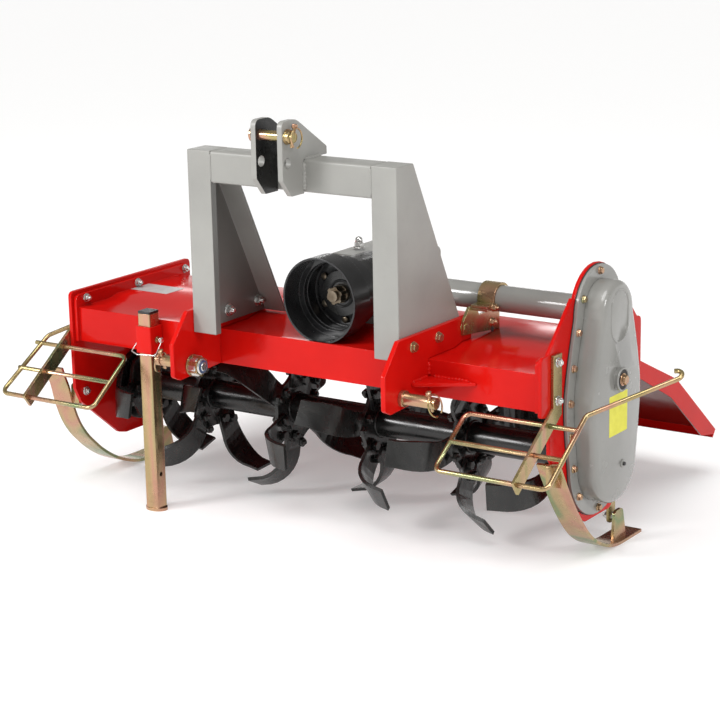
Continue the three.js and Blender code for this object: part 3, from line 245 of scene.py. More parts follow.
def yellow_zinc(stretch=(1, 1, 1), name="yellow_zinc"):
    """Gold chromate plating that drifts to pink and green, with faint drawing marks."""
    paint = Paint(name, 1.0)
    drift = paint.noise(7, 1.4, stretch, 1.0)
    tint = paint.ramp(drift, [
        (0.28, (0.46, 0.31, 0.17)),
        (0.38, (0.36, 0.30, 0.13)),
        (0.46, (0.48, 0.32, 0.18)),
        (0.53, (0.50, 0.27, 0.19)),
        (0.60, (0.46, 0.33, 0.18)),
        (0.67, (0.22, 0.28, 0.14)),
        (0.76, (0.48, 0.30, 0.17)),
    ])
    stain = paint.ramp(paint.noise(45, 6), [(0.5, 0.0), (0.85, 0.28)])
    stained = paint.mix(stain, tint, (0.16, 0.10, 0.05))
    bright = paint.mix(paint.wear(0.04, 0.35), stained, (0.70, 0.54, 0.34))
    paint.bump(paint.noise(120, 4, stretch), 0.12, 0.10)
    paint.fix(Metallic=0.9)
    return paint.done(bright, paint.ramp(paint.noise(35, 5), [(0.3, 0.17), (0.75, 0.34)]))


def bright_zinc():
    """Silver plating of the nuts and studs."""
    paint = Paint("bright_zinc", 0.6)
    colour = paint.ramp(paint.noise(80, 4), [(0.3, (0.55, 0.54, 0.52)), (0.75, (0.76, 0.76, 0.75))])
    paint.fix(Metallic=0.92)
    return paint.done(colour, paint.ramp(paint.noise(60, 4), [(0.3, 0.18), (0.75, 0.34)]))


def bare_steel():
    """Steel with brown patches and fine turning marks."""
    paint = Paint("bare_steel", 0.8)
    brown, steel = (0.10, 0.075, 0.05), (0.30, 0.25, 0.19)
    colour = paint.ramp(paint.noise(40, 5, (1, 4, 1)), [(0.35, brown), (0.7, steel)])
    paint.bump(paint.noise(90, 2, (0.4, 12, 0.4)), 0.15, 0.08)
    paint.fix(Metallic=0.9)
    return paint.done(colour, paint.ramp(paint.noise(50, 4), [(0.3, 0.24), (0.75, 0.42)]))


def matt(name, dark, light, rough):
    """A plain sticker, nylon or gasket surface with a faint grain."""
    paint = Paint(name, 0.3)
    colour = paint.ramp(paint.noise(70, 4), [(0.3, dark), (0.7, light)])
    paint.bump(paint.noise(500, 2), 0.06, 0.04)
    return paint.done(colour, paint.ramp(paint.noise(55, 3), [(0.3, rough), (0.75, rough + 0.12)]))


RED, GREY, BLACK, PLASTIC = red_paint(), grey_paint(), black_paint(), black_plastic()
# A much darker red, painted shade for the rear board's inner face.
PAINTED_SHADE_RED = red_paint("red_paint_painted_shade", 0.22)
GLOSSY_GREY = grey_paint("grey_enamel", 0.5, 0.16, 0.3, 0.8)
# A darker grey, painted shade for the mast legs' inner faces.
PAINTED_SHADE_GREY = grey_paint("grey_paint_painted_shade", 0.2, 0.3, 0.44, 0.5)
ZINC = yellow_zinc()
ZINC_BAR = yellow_zinc((2.2, 2.2, 0.22), "yellow_zinc_drawn")
ZINC_ROD = yellow_zinc((0.5, 0.5, 0.5), "yellow_zinc_rod")
BRIGHT, STEEL = bright_zinc(), bare_steel()
YELLOW_LABEL = matt("yellow_label", (0.66, 0.62, 0.02), (0.74, 0.70, 0.04), 0.3)
WHITE_LABEL = matt("white_label", (0.40, 0.40, 0.40), (0.50, 0.50, 0.49), 0.3)
NYLON = matt("nylon_blue", (0.04, 0.07, 0.15), (0.08, 0.12, 0.22), 0.35)
GASKET = matt("dark_gasket", (0.012, 0.012, 0.014), (0.035, 0.033, 0.032), 0.55)

# ---------------------------------------------------------------- meshes


def piece(name, bm, paint, body="frame", smooth_deg=38, bevel_mm=0.0):
    """Turns a bmesh into a shaded piece that rides on a body."""
    mesh = bpy.data.meshes.new(name)
    bmesh.ops.recalc_face_normals(bm, faces=bm.faces)
    bm.to_mesh(mesh)
    bm.free()
    mesh.shade_smooth()
    mesh.set_sharp_from_angle(angle=math.radians(smooth_deg))
    made = bpy.data.objects.new(name, mesh)
    bpy.context.scene.collection.objects.link(made)
    made.data.materials.append(paint)
    if bevel_mm:
        rounded = made.modifiers.new("rounded", "BEVEL")
        rounded.width = bevel_mm * MM
        rounded.segments = 2
        rounded.limit_method = "ANGLE"
        rounded.angle_limit = math.radians(35)
        rounded.harden_normals = True
    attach(made, body)
    return made


def refine(node, paint, smooth_deg=38, bevel_mm=0.0):
    """A CAD node's own shape with its triangles merged, its curves smoothed and its edges rounded."""
    source = frame["nodes"][node]
    bm = bmesh.new()
    bm.from_mesh(source.data)
    bmesh.ops.remove_doubles(bm, verts=bm.verts, dist=0.02 * MM)
    bmesh.ops.dissolve_limit(bm, angle_limit=math.radians(0.5), verts=bm.verts, edges=bm.edges)
    made = piece(node + "_finish", bm, paint, source["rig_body"], smooth_deg, bevel_mm)
    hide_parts(node)
    return made


def facing(place, direction, up=None):
    """A frame at a place whose Z looks along a direction."""
    turn = Vector(direction).to_track_quat("Z", "Y").to_matrix().to_4x4()
    if up is not None:
        z = Vector(direction).normalized()
        x = Vector(up).cross(z).normalized()
        turn = Matrix((x, z.cross(x), z)).transposed().to_4x4()
    turn.translation = place
    return turn


def stack(bm, at, rings, sides=24, turn=0.0):
    """A closed solid through rings of (radius, height), both in millimetres."""
    loops = []
    for radius, height in rings:
        loops.append([
            bm.verts.new(at @ Vector((
                radius * MM * math.cos(turn + 2 * math.pi * i / sides),
                radius * MM * math.sin(turn + 2 * math.pi * i / sides),
                height * MM,
            )))
            for i in range(sides)
        ])
    for low, high in zip(loops, loops[1:]):
        for i in range(sides):
            j = (i + 1) % sides
            bm.faces.new((low[i], low[j], high[j], high[i]))
    bm.faces.new(list(reversed(loops[0])))
    bm.faces.new(loops[-1])


def wire(bm, points, radius_mm, sides=10, closed=False):
    """A round wire through points, with round ends."""
    count = len(points)
    loops = []
    side = None
    for i, point in enumerate(points):
        before = points[(i - 1) % count] if closed or i > 0 else point
        after = points[(i + 1) % count] if closed or i < count - 1 else point
        along = (after - before).normalized()
        if side is None:
            side = along.orthogonal().normalized()
        side = (side - along * side.dot(along)).normalized()
        across = along.cross(side)
        loops.append([
            bm.verts.new(point + (side * math.cos(a) + across * math.sin(a)) * radius_mm * MM)
            for a in (2 * math.pi * k / sides for k in range(sides))
        ])
    pairs = list(zip(loops, loops[1:])) + ([(loops[-1], loops[0])] if closed else [])
    for low, high in pairs:
        for i in range(sides):
            j = (i + 1) % sides
            bm.faces.new((low[i], low[j], high[j], high[i]))
    if not closed:
        bm.faces.new(list(reversed(loops[0])))
        bm.faces.new(loops[-1])


def circle(at, radius_mm, count=28):
    """Points round a frame's Z axis."""
    turns = (2 * math.pi * i / count for i in range(count))
    return [at @ Vector((radius_mm * MM * math.cos(a), radius_mm * MM * math.sin(a), 0)) for a in turns]


def slab(bm, at, corners, thick_mm):
    """A thin plate through corners given in the frame's own X and Y, in millimetres."""
    low = [bm.verts.new(at @ Vector((x * MM, y * MM, 0))) for x, y in corners]
    high = [bm.verts.new(at @ Vector((x * MM, y * MM, thick_mm * MM))) for x, y in corners]
    bm.faces.new(list(reversed(low)))
    bm.faces.new(high)
    for i in range(len(corners)):
        j = (i + 1) % len(corners)
        bm.faces.new((low[i], low[j], high[j], high[i]))


def rounded_box(width, height, radius, steps=5):
    """The corners of a rectangle round the middle, with rounded corners."""
    points = []
    for quarter, (sx, sy) in enumerate(((1, 1), (-1, 1), (-1, -1), (1, -1))):
        for i in range(steps + 1):
            a = math.pi / 2 * (quarter + i / steps)
            points.append((
                sx * (width / 2 - radius) + radius * math.cos(a),
                sy * (height / 2 - radius) + radius * math.sin(a),
            ))
    return points


# Sizes across the flats, high and over the washer, in millimetres.
CASE_BOLT = (11, 5, 7.5)
CLAMP_BOLT = (12, 6, 8.5)
DECK_NUT = (13, 6.5, 9)
PLATE_BOLT = (13, 5.5, 9)
GUARD_BOLT = (13, 6, 9)
HITCH_BOLT = (15, 6.5, 10.5)
LEG_NUT = (17, 8, 12)
COVER_BOLT = (10, 4.5, 0)


def bolt(bm, place, direction, across, height, washer, stud=0.0, turn=0.3):
    """A washer and a chamfered hexagon, with the thread's end showing where there is a stud."""
    at = facing(place, direction)
    if washer:
        stack(bm, at, [(washer, 0), (washer, 1.2), (washer - 0.5, 1.7)])
    radius = across / 2 / math.cos(math.pi / 6)
    stack(bm, at, [(radius, 1.5), (radius, 1.2 + height * 0.82), (radius * 0.88, 1.5 + height)], 6, turn)
    if stud:
        crest, groove, pitch = across * 0.29, 0.35, 0.7
        turns = int(stud / pitch) + 1
        thread = [(crest - (groove if i % 2 else 0), height + i * pitch) for i in range(turns)]
        stack(bm, at, thread + [(across * 0.22, thread[-1][1] + 1)], 16)


def weld(bm, start, end, radius_mm, pitch_mm):
    """A rippled bead of weld along a seam."""
    sides, ripple_share, end_share = 8, 0.14, 0.45
    count = max(int((end - start).length / (pitch_mm * MM)) * 4, 4)
    along = (end - start) / count
    side = along.orthogonal().normalized()
    across = along.normalized().cross(side)
    loops = []
    for i in range(count + 1):
        ripple = 1 + ripple_share * math.sin(i * math.pi / 2) if 0 < i < count else end_share
        centre = start + along * i
        loops.append([
            bm.verts.new(centre + (side * math.cos(a) + across * math.sin(a)) * radius_mm * ripple * MM)
            for a in (2 * math.pi * k / sides for k in range(sides))
        ])
    for low, high in zip(loops, loops[1:]):
        for i in range(sides):
            j = (i + 1) % sides
            bm.faces.new((low[i], low[j], high[j], high[i]))
    bm.faces.new(list(reversed(loops[0])))
    bm.faces.new(loops[-1])


def span_at(node, height):
    """The lowest and highest Y that a CAD node's outline reaches at a height."""
    mesh = frame["nodes"][node].data
    reached = []
    for edge in mesh.edges:
        a, b = (mesh.vertices[i].co for i in edge.vertices)
        if (a.z - height) * (b.z - height) < 0:
            reached.append(a.y + (b.y - a.y) * (height - a.z) / (b.z - a.z))
    return min(reached), max(reached)


# ---------------------------------------------------------------- CAD nodes with their finish

# Paint, width of the rounded edges in millimetres, sharpest smoothed angle in degrees, nodes.
FINISHES = [
    (RED, 2.4, 38, ["deck", "left_end_plate", "right_end_plate", "left_hitch_plate", "right_hitch_plate"]),
    (RED, 1.0, 38, ["left_gusset", "right_gusset", "stand_sleeve", "rear_board"]),
    (GREY, 1.8, 38, ["left_mast_leg", "right_mast_leg", "mast_beam", "left_mast_ear", "right_mast_ear"]),
    (GREY, 2.0, 40, ["gearbox"]),
    (GLOSSY_GREY, 0.8, 40, ["side_tube", "case_flange"]),
    (GLOSSY_GREY, 0.0, 42, ["case_cover"]),
    (BLACK, 1.2, 40, ["left_bearing_housing", "right_bearing_housing"]),
    (BLACK, 0.0, 40, ["rotor_tube"] + [f"tine_set_{i}" for i in range(1, 7)]),
    (PLASTIC, 0.7, 38, ["pto_shield", "stand_cap"]),
    (ZINC, 0.6, 38, ["clamp_strap", "clamp_bracket", "left_skid", "right_skid"]),
    (ZINC, 0.6, 38, ["right_lower_pin", "top_link_pin"]),
    (ZINC_BAR, 1.0, 38, ["stand_tube", "left_guard_bar", "right_guard_bar"]),
    (ZINC_BAR, 1.0, 38, ["left_skid_upright", "right_skid_upright"]),
    (ZINC, 0.4, 38, ["stand_pin", "left_lower_pin", "rear_hinge_rod"]),
    (ZINC_ROD, 0.0, 60, ["left_guard_frame", "right_guard_frame"]),
    (STEEL, 0.5, 30, ["pto_shaft"]),
]
for finish, bevel, smooth, names in FINISHES:
    for name in names:
        refine(name, finish, smooth, bevel)


def recoat(node, paint, chosen):
    """Gives the chosen faces of a finished node another paint, which on the inner faces is painted shade.
    """
    made = bpy.data.objects[node + "_finish"]
    made.data.materials.append(paint)
    for face in made.data.polygons:
        if chosen(face):
            face.material_index = 1


GEARBOX_BLOCK_Y = 232
GEARBOX_NECK_RADIUS = 64
GEARBOX_NECK_Y = 182


def neck_face(face):
    """A face of the gearbox's round neck, in and behind the shield."""
    reach = math.hypot(face.center.x - MAST_X, face.center.z - DRIVE_AXIS.z)
    return face.center.y < spot(0, GEARBOX_BLOCK_Y, 0).y and reach < GEARBOX_NECK_RADIUS * MM


recoat("gearbox", BLACK, neck_face)
# The rear board's inner face takes the darker red as painted shade.
recoat("rear_board", PAINTED_SHADE_RED, lambda face: face.normal.y < -0.3 and face.normal.z < 0.4)
# The ears' inner faces are coloured black as painted shade.
recoat("left_mast_ear", BLACK, lambda face: face.normal.x > 0.9)
recoat("right_mast_ear", BLACK, lambda face: face.normal.x < -0.9)
# The legs' inner faces take the darker grey as painted shade.
recoat("left_mast_leg", PAINTED_SHADE_GREY, lambda face: face.normal.x > 0.9)
recoat("right_mast_leg", PAINTED_SHADE_GREY, lambda face: face.normal.x < -0.9)

# ---------------------------------------------------------------- drive case

CASE_X = FLANGE_HIGH.x
COVER_X = COVER_HIGH.x - 8 * MM
BOLT_INSET = 12 * MM
IDLER_Z = 345
OVAL_Y, OVAL_Z = 272, 462
CASE_LABEL_Y, CASE_LABEL_Z = 269, 280


def case_bolts():
    """Bolts round the flange, set in from its edge at seven heights, and one at each end."""
    bm = bmesh.new()
    low = FLANGE_LOW.z + BOLT_INSET
    high = FLANGE_HIGH.z - BOLT_INSET
    for share in (0.09, 0.22, 0.36, 0.50, 0.64, 0.78, 0.91):
        height = low + (high - low) * share
        front, rear = span_at("case_flange", height)
        slope = 1.35 if share < 0.12 or share > 0.88 else 1
        for y in (front + BOLT_INSET * slope, rear - BOLT_INSET * slope):
            bolt(bm, Vector((CASE_X, y, height)), X, *CASE_BOLT, turn=share * 9)
    for height in (low - 1 * MM, high + 1 * MM):
        bolt(bm, Vector((CASE_X, ROTOR_AXIS.y, height)), X, *CASE_BOLT)
    piece("case_bolts", bm, ZINC)


def case_gasket():
    """A dark line of gasket between the case's flange and the red plate."""
    mesh = frame["nodes"]["case_flange"].data
    middle_y, middle_z = ROTOR_AXIS.y, (FLANGE_LOW.z + FLANGE_HIGH.z) / 2
    corners = {}
    for vertex in mesh.vertices:
        y, z = vertex.co.y - middle_y, vertex.co.z - middle_z
        reach = math.hypot(y, z)
        turn = round(math.atan2(z, y), 3)
        if reach > corners.get(turn, (0, 0, 0))[0]:
            corners[turn] = (reach, y, z)
    outline = []
    shown = 1.3 * MM
    for turn in sorted(corners):
        reach, y, z = corners[turn]
        grown = 1 + shown / reach
        outline.append((y * grown / MM, z * grown / MM))
    at = Matrix(((0, 0, 1, FLANGE_LOW.x), (1, 0, 0, middle_y), (0, 1, 0, middle_z), (0, 0, 0, 1)))
    bm = bmesh.new()
    slab(bm, at, outline, 1.6)
    piece("case_gasket", bm, GASKET)


def case_details():
    """The cover's idler bolt in its ring over a dark disc of painted shade, pressed oval, drain and blank
    label.
    """
    idler = Vector((COVER_HIGH.x, ROTOR_AXIS.y, spot(0, 0, IDLER_Z).z))
    ring = bmesh.new()
    at = facing(idler, X)
    wire(ring, circle(at, 20.5, 36), 2.4, 10, True)
    oval = facing(beside(COVER_X - 0.6 * MM, OVAL_Y, OVAL_Z), X, Z)
    outline = [oval @ Vector((x * MM, y * MM, 0)) for x, y in rounded_box(66, 96, 32.5, 10)]
    wire(ring, outline, 1.9, 8, True)
    drain = facing(Vector((COVER_X, ROTOR_AXIS.y + 18 * MM, ROTOR_AXIS.z - 10 * MM)), X)
    stack(ring, drain, [(8, -1), (8, 1.4), (7, 2)], 28)
    piece("case_embossing", ring, GLOSSY_GREY, smooth_deg=50)
    # A dark disc inside the ring, painted shade for the recess.
    well = bmesh.new()
    stack(well, at, [(19, -1), (19, 0.4), (18.5, 0.5)], 36)
    piece("idler_well_painted_shade", well, GASKET)
    plug = bmesh.new()
    bolt(plug, idler + X * 0.3 * MM, X, 16, 7, 12)
    piece("idler_bolt", plug, ZINC)
    screw = bmesh.new()
    bolt(screw, drain.translation + X * 1.6 * MM, X, 7, 2.5, 0, turn=0.8)
    piece("drain_screw", screw, GASKET)
    label = bmesh.new()
    place = facing(beside(COVER_X + 0.05 * MM, CASE_LABEL_Y, CASE_LABEL_Z), X, Z)
    slab(label, place, rounded_box(70, 76, 2), 0.25)
    piece("case_label", label, YELLOW_LABEL)


case_bolts()
case_gasket()
case_details()

# ---------------------------------------------------------------- fasteners of the deck and hitch

DECK_FLANGE = 8 * MM
LEG_WEB = 5 * MM
DECK_BOLT_Y, DECK_BOLT_Z = (105, 268, 425), 404
LEG_BOLT_Y, HITCH_BOLT_Y, HITCH_BOLT_Z = (103, 198), (30, 115, 202), 421
LEFT_PLATE_LOW, LEFT_PLATE_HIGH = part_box("left_end_plate")


def deck_fasteners():
    """Bolts that hold the end plates to the deck and the mast's legs to the hitch plates."""
    nuts = bmesh.new()
    for y in DECK_BOLT_Y:
        bolt(nuts, beside(DECK_LOW.x + DECK_FLANGE, y, DECK_BOLT_Z), X, *DECK_NUT, stud=5)
        bolt(nuts, beside(DECK_HIGH.x - DECK_FLANGE, y, DECK_BOLT_Z), -X, *DECK_NUT, stud=5)
        bolt(nuts, beside(LEFT_PLATE_LOW.x, y, DECK_BOLT_Z), -X, *PLATE_BOLT)
    right_leg_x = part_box("right_mast_leg")[1].x
    for x, side in ((LEG_LOW.x + LEG_WEB, X), (right_leg_x - LEG_WEB, -X)):
        for y in LEG_BOLT_Y:
            bolt(nuts, beside(x, y, HITCH_BOLT_Z), side, *LEG_NUT, stud=7)
    piece("deck_nuts", nuts, BRIGHT)
    heads = bmesh.new()
    for x, side in ((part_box("right_hitch_plate")[1].x, X), (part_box("left_hitch_plate")[0].x, -X)):
        for y in HITCH_BOLT_Y:
            bolt(heads, beside(x, y, HITCH_BOLT_Z), side, *HITCH_BOLT)
    piece("hitch_bolts", heads, ZINC)


def guard_and_skid_fasteners():
    """Bolts of the guards' bars and of the skids' uprights."""
    bm = bmesh.new()
    right_bar_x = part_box("right_guard_bar")[1].x
    left_bar_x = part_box("left_guard_bar")[0].x
    for z in (335, 405):
        bolt(bm, beside(right_bar_x, 117, z), X, *GUARD_BOLT, stud=4)
    for z in (366, 405):
        bolt(bm, beside(left_bar_x, 101, z), -X, *GUARD_BOLT, stud=4)
    bolt(bm, beside(LEFT_PLATE_HIGH.x, 99, 209), X, *GUARD_BOLT, stud=3)
    foot_bolt_z, top_bolt_z = 48 * MM, 190 * MM
    for node, outer in (("right_skid_upright", X), ("left_skid_upright", -X)):
        low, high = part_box(node)
        x = low.x if outer.x < 0 else high.x
        for z in (foot_bolt_z, top_bolt_z):
            bolt(bm, Vector((x, (low.y + high.y) / 2, z)), outer, *GUARD_BOLT)
    low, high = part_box("right_skid_upright")
    bolt(bm, Vector((low.x, (low.y + high.y) / 2, foot_bolt_z)), -X, *GUARD_BOLT, stud=6)
    piece("guard_bolts", bm, BRIGHT)


def clamp_fasteners():
    """The strap's bolt heads on the bracket, with a dark disc of painted shade for a spare hole below
    them.
    """
    bm = bmesh.new()
    face_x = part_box("clamp_bracket")[1].x
    for y, z in ((239, 456), (232, 431)):
        bolt(bm, beside(face_x, y, z), X, *CLAMP_BOLT, stud=5)
    piece("clamp_bolts", bm, ZINC)
    # A dark disc, painted shade for the spare hole.
    hole = bmesh.new()
    stack(hole, facing(beside(face_x, 235, 416), X), [(5, -1), (5, 0.15), (4.6, 0.3)], 24)
    piece("clamp_hole_painted_shade", hole, GASKET)


deck_fasteners()
guard_and_skid_fasteners()
clamp_fasteners()

# ---------------------------------------------------------------- pins and clips


def lynch_pin(place, axis, drop, name, radius=20, sag=5):
    """A short pin through a bigger pin's end, with its sprung ring hanging down."""
    bm = bmesh.new()
    stack(bm, facing(place + drop * -17 * MM, drop), [(2.2, 0), (3.2, 1), (3.2, 34), (2.2, 36)], 16)
    stack(bm, facing(place + drop * -24 * MM, drop), [(3.5, 0), (5.6, 1.5), (5.6, 7), (3.8, 8.5)], 16)
    across = axis.cross(drop).normalized()
    centre = place + (axis * 8 + drop * sag) * MM
    tall, wide = (drop * radius + axis * sag) * MM, across * (radius - 1) * MM
    gap, steps = math.radians(20), 29
    turns = (gap + (2 * math.pi - 2 * gap) * i / steps for i in range(steps + 1))
    ring = [centre + tall * math.cos(a) + wide * math.sin(a) for a in turns]
    wire(bm, ring, 1.6)
    piece(name, bm, ZINC, smooth_deg=50)


LOWER_CLIP_INSET = 13 * MM


def lower_pin_fittings():
    """Each lower pin's washer, lock nut and stud inside the hitch plate, and its clip outside."""
    for side, node in ((X, "left_lower_pin"), (-X, "right_lower_pin")):
        low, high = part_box(node)
        inner_x, outer_x = (high.x, low.x) if side.x > 0 else (low.x, high.x)
        middle = (low + high) / 2
        end = Vector((inner_x, middle.y, middle.z)) - side * 0.5 * MM
        washer = bmesh.new()
        stack(washer, facing(end - side * 23.4 * MM, side), [(21, 0), (21, 2.6), (20, 3)], 32)
        piece(node + "_washer", washer, ZINC)
        nut = bmesh.new()
        stack(nut, facing(end - side * 19.5 * MM, side), [(19.9, -1), (20.0, 15), (17.4, 17)], 6, 0.2)
        stack(nut, facing(end - side * 3.5 * MM, side), [(15.6, -1), (15.6, 4), (13.6, 6.5)], 28)
        piece(node + "_nut", nut, BRIGHT)
        insert = bmesh.new()
        stack(insert, facing(end + side * 2.6 * MM, side), [(12.6, -1), (12.6, 0.8), (11.6, 1.2)], 28)
        piece(node + "_insert", insert, NYLON)
        stud = bmesh.new()
        stack(stud, facing(end + side * 3.2 * MM, side), [(8.6, -1), (8.6, 1.6), (7.4, 2.6)], 24)
        piece(node + "_stud", stud, BRIGHT)
        tip = Vector((outer_x, middle.y, middle.z)) + side * LOWER_CLIP_INSET
        lynch_pin(tip, -side, Vector((0, 0.35, -0.94)).normalized(), node + "_clip")


def top_pin_fittings():
    """The top pin's head, its boss outside the right ear and its clip."""
    low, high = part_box("top_link_pin")
    middle = (low + high) / 2
    ear_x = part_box("right_mast_ear")[1].x
    left_end = facing(Vector((low.x + 6 * MM, middle.y, middle.z)), -X)
    right_ear = facing(Vector((ear_x + 0.3 * MM, middle.y, middle.z)), X)
    head = bmesh.new()
    stack(head, left_end, [(13.5, 0), (13.5, 4.5), (12, 5.8)], 28)
    stack(head, right_ear, [(14, 0), (14, 2), (12.5, 2.4), (12.5, 9), (10.8, 11)], 28)
    piece("top_pin_head", head, ZINC)
    place = Vector((high.x - 3 * MM, middle.y, middle.z))
    lynch_pin(place, X, Vector((0, -0.3, -0.95)).normalized(), "top_pin_clip", 17.5, 1)


def stand_clip():
    """The sprung wire that holds the stand's pin, round the sleeve's front."""
    sleeve_low, sleeve_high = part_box("stand_sleeve")
    pin_low, pin_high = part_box("stand_pin")
    level = (pin_low.z + pin_high.z) / 2
    front = sleeve_low.y - 4 * MM
    middle_y = (sleeve_low.y + sleeve_high.y) / 2
    points = [
        Vector((pin_high.x - 2 * MM, middle_y, level)),
        Vector((pin_high.x + 5 * MM, middle_y - 6 * MM, level - 4 * MM)),
        Vector((pin_high.x + 4 * MM, front, level - 26 * MM)),
        Vector((sleeve_low.x + 6 * MM, front - 1 * MM, level - 29 * MM)),
        Vector((sleeve_low.x - 8 * MM, front, level - 24 * MM)),
        Vector((sleeve_low.x - 6 * MM, middle_y, level - 2 * MM)),
        Vector((sleeve_low.x + 0.5 * MM, middle_y, level)),
    ]
    bm = bmesh.new()
    wire(bm, points, 1.3)
    bolt(bm, Vector((pin_high.x - 1 * MM, middle_y, level)), X, 9, 4, 6)
    piece("stand_clip", bm, BRIGHT, smooth_deg=50)


lower_pin_fittings()
top_pin_fittings()
stand_clip()

# ---------------------------------------------------------------- gearbox, shaft and shield


def gearbox_details():
    """The breather on top, round covers behind and on the left, and bolts on those and the neck."""
    low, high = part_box("gearbox")
    bm = bmesh.new()
    top = spot(-42, 283, 0)
    top.z = high.z
    bolt(bm, top, Z, 17, 9, 12)
    stack(bm, facing(top + Z * 10 * MM, Z), [(6, 0), (7.4, 2), (7.4, 7), (5, 10.5), (1.5, 12)], 24)
    piece("breather", bm, BRIGHT)
    plate = bmesh.new()
    rear = Vector(((low.x + high.x) / 2, high.y, DRIVE_AXIS.z - 4 * MM))
    stack(plate, facing(rear, Y), [(52, -1), (52, 2.2), (50.5, 3)], 48)
    side = facing(Vector((low.x, DRIVE_AXIS.y + 40 * MM, DRIVE_AXIS.z)), -X)
    stack(plate, side, [(50, -1), (50, 2.2), (48.5, 3)], 48)
    piece("gearbox_covers", plate, GREY)
    caps = bmesh.new()
    neck = Vector((MAST_X, spot(0, GEARBOX_NECK_Y, 0).y - 9 * MM, DRIVE_AXIS.z))
    seat = 1.8 * MM
    for i in range(6):
        a = math.radians(30 + 60 * i)
        upright = Vector((math.cos(a), 0, math.sin(a))) * MM
        stack(caps, facing(neck + upright * 53, -Y), [(7.5, 0), (7.5, 3.4), (6.4, 5.2), (3, 6)], 20)
        on_side = Vector((42 * MM * math.cos(a), 42 * MM * math.sin(a), seat))
        bolt(caps, side @ on_side, -X, *COVER_BOLT, turn=a)
        bolt(caps, rear + upright * 44 + Y * seat, Y, *COVER_BOLT, turn=a)
    piece("gearbox_bolts", caps, STEEL, smooth_deg=50)


SEAL_Y, RIB_Y, RIB_RADIUS = 159.4, (140, 168), 65.0


def shaft_details():
    """A dark disc of painted shade for the shaft's centre hole, the shaft's seal and the ribs inside the
    shield.
    """
    front = Vector((MAST_X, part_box("pto_shaft")[0].y, DRIVE_AXIS.z))
    # A dark disc, painted shade for the shaft's centre hole.
    bm = bmesh.new()
    stack(bm, facing(front + Y * 0.6 * MM, -Y), [(4.2, -0.4), (4.2, 0.3), (3.4, 0.5)], 20)
    piece("shaft_centre_painted_shade", bm, GASKET, "pto_drive_shaft")
    ring = bmesh.new()
    seat = Vector((MAST_X, spot(0, SEAL_Y, 0).y, DRIVE_AXIS.z))
    wire(ring, circle(facing(seat, -Y), 25, 36), 2.6, 8, True)
    piece("shaft_seal", ring, GASKET)
    shield = bmesh.new()
    for y in RIB_Y:
        at = Vector((MAST_X, spot(0, y, 0).y, DRIVE_AXIS.z))
        wire(shield, circle(facing(at, -Y), RIB_RADIUS, 48), 1.4, 8, True)
    piece("shield_ribs", shield, PLASTIC, smooth_deg=50)


gearbox_details()
shaft_details()

# ---------------------------------------------------------------- rotor

# Only the blades' bent ends are this far to the side of their flange.
BLADE_REACH = 80 * MM
# Points of one blade are closer together than this turn, in radians.
BLADE_APART = 0.5
# A blade's root is turned by this much from its bent end.
BLADE_SWEEP = math.radians(9)
# Each root bolt's distance out from the axis and to the side, in millimetres.
ROOT_BOLTS = ((55, -11), (74, 10))


def turn_of(place):
    """A place's angle round the rotor."""
    return math.atan2(place.z - ROTOR_AXIS.z, place.y - ROTOR_AXIS.y)


def turn_between(a, b):
    """The smaller angle between two turns."""
    return abs((a - b + math.pi) % (2 * math.pi) - math.pi)


def blade_turns(tips):
    """The angle of each blade, from its points far out to the side of the flange."""
    turns = []
    for co in tips:
        a = turn_of(co)
        if all(turn_between(a, b) > BLADE_APART for b in turns):
            near = [c for c in tips if turn_between(turn_of(c), a) < BLADE_APART]
            turns.append(turn_of(sum(near, Vector()) / len(near)))
    return turns


def tine_fasteners():
    """Two bolts through each blade's root, and the welds of the flanges."""
    bolts = bmesh.new()
    welds = bmesh.new()
    tube_radius = (TUBE_HIGH.z - TUBE_LOW.z) / 2
    for i in range(1, 7):
        places = [v.co for v in frame["nodes"][f"tine_set_{i}"].data.vertices]
        inner = [
            c.x for c in places
            if math.hypot(c.y - ROTOR_AXIS.y, c.z - ROTOR_AXIS.z) < tube_radius + 1 * MM
        ]
        middle = (min(inner) + max(inner)) / 2
        for side in (-1, 1):
            tips = [c for c in places if side * (c.x - middle) > BLADE_REACH]
            for a in blade_turns(tips):
                out = a + BLADE_SWEEP
                radial = Vector((0, math.cos(out), math.sin(out)))
                tangent = Vector((0, -math.sin(out), math.cos(out)))
                for reach, shift in ROOT_BOLTS:
                    base = ROTOR_AXIS + (radial * reach + tangent * shift) * MM
                    base.x = middle + side * 10.6 * MM
                    bolt(bolts, base, X * side, 17, 7.5, 0, turn=a)
                    base.x = middle - side * 4 * MM
                    bolt(bolts, base, X * -side, 17, 7.5, 0, stud=5, turn=a)
            ring = Vector((middle + side * 4.4 * MM, ROTOR_AXIS.y, ROTOR_AXIS.z))
            wire(welds, circle(facing(ring, X), tube_radius / MM + 0.6, 40), 3.0, 8, True)
    piece("tine_bolts", bolts, BLACK, "rotor")
    piece("rotor_welds", welds, BLACK, "rotor", 60)


tine_fasteners()

# ---------------------------------------------------------------- welds and labels

# Radius and the length of one ripple, in millimetres.
BIG_BEAD = (4.6, 7)
PLATE_BEAD = (4.2, 7)
THIN_BEAD = (2.2, 5)


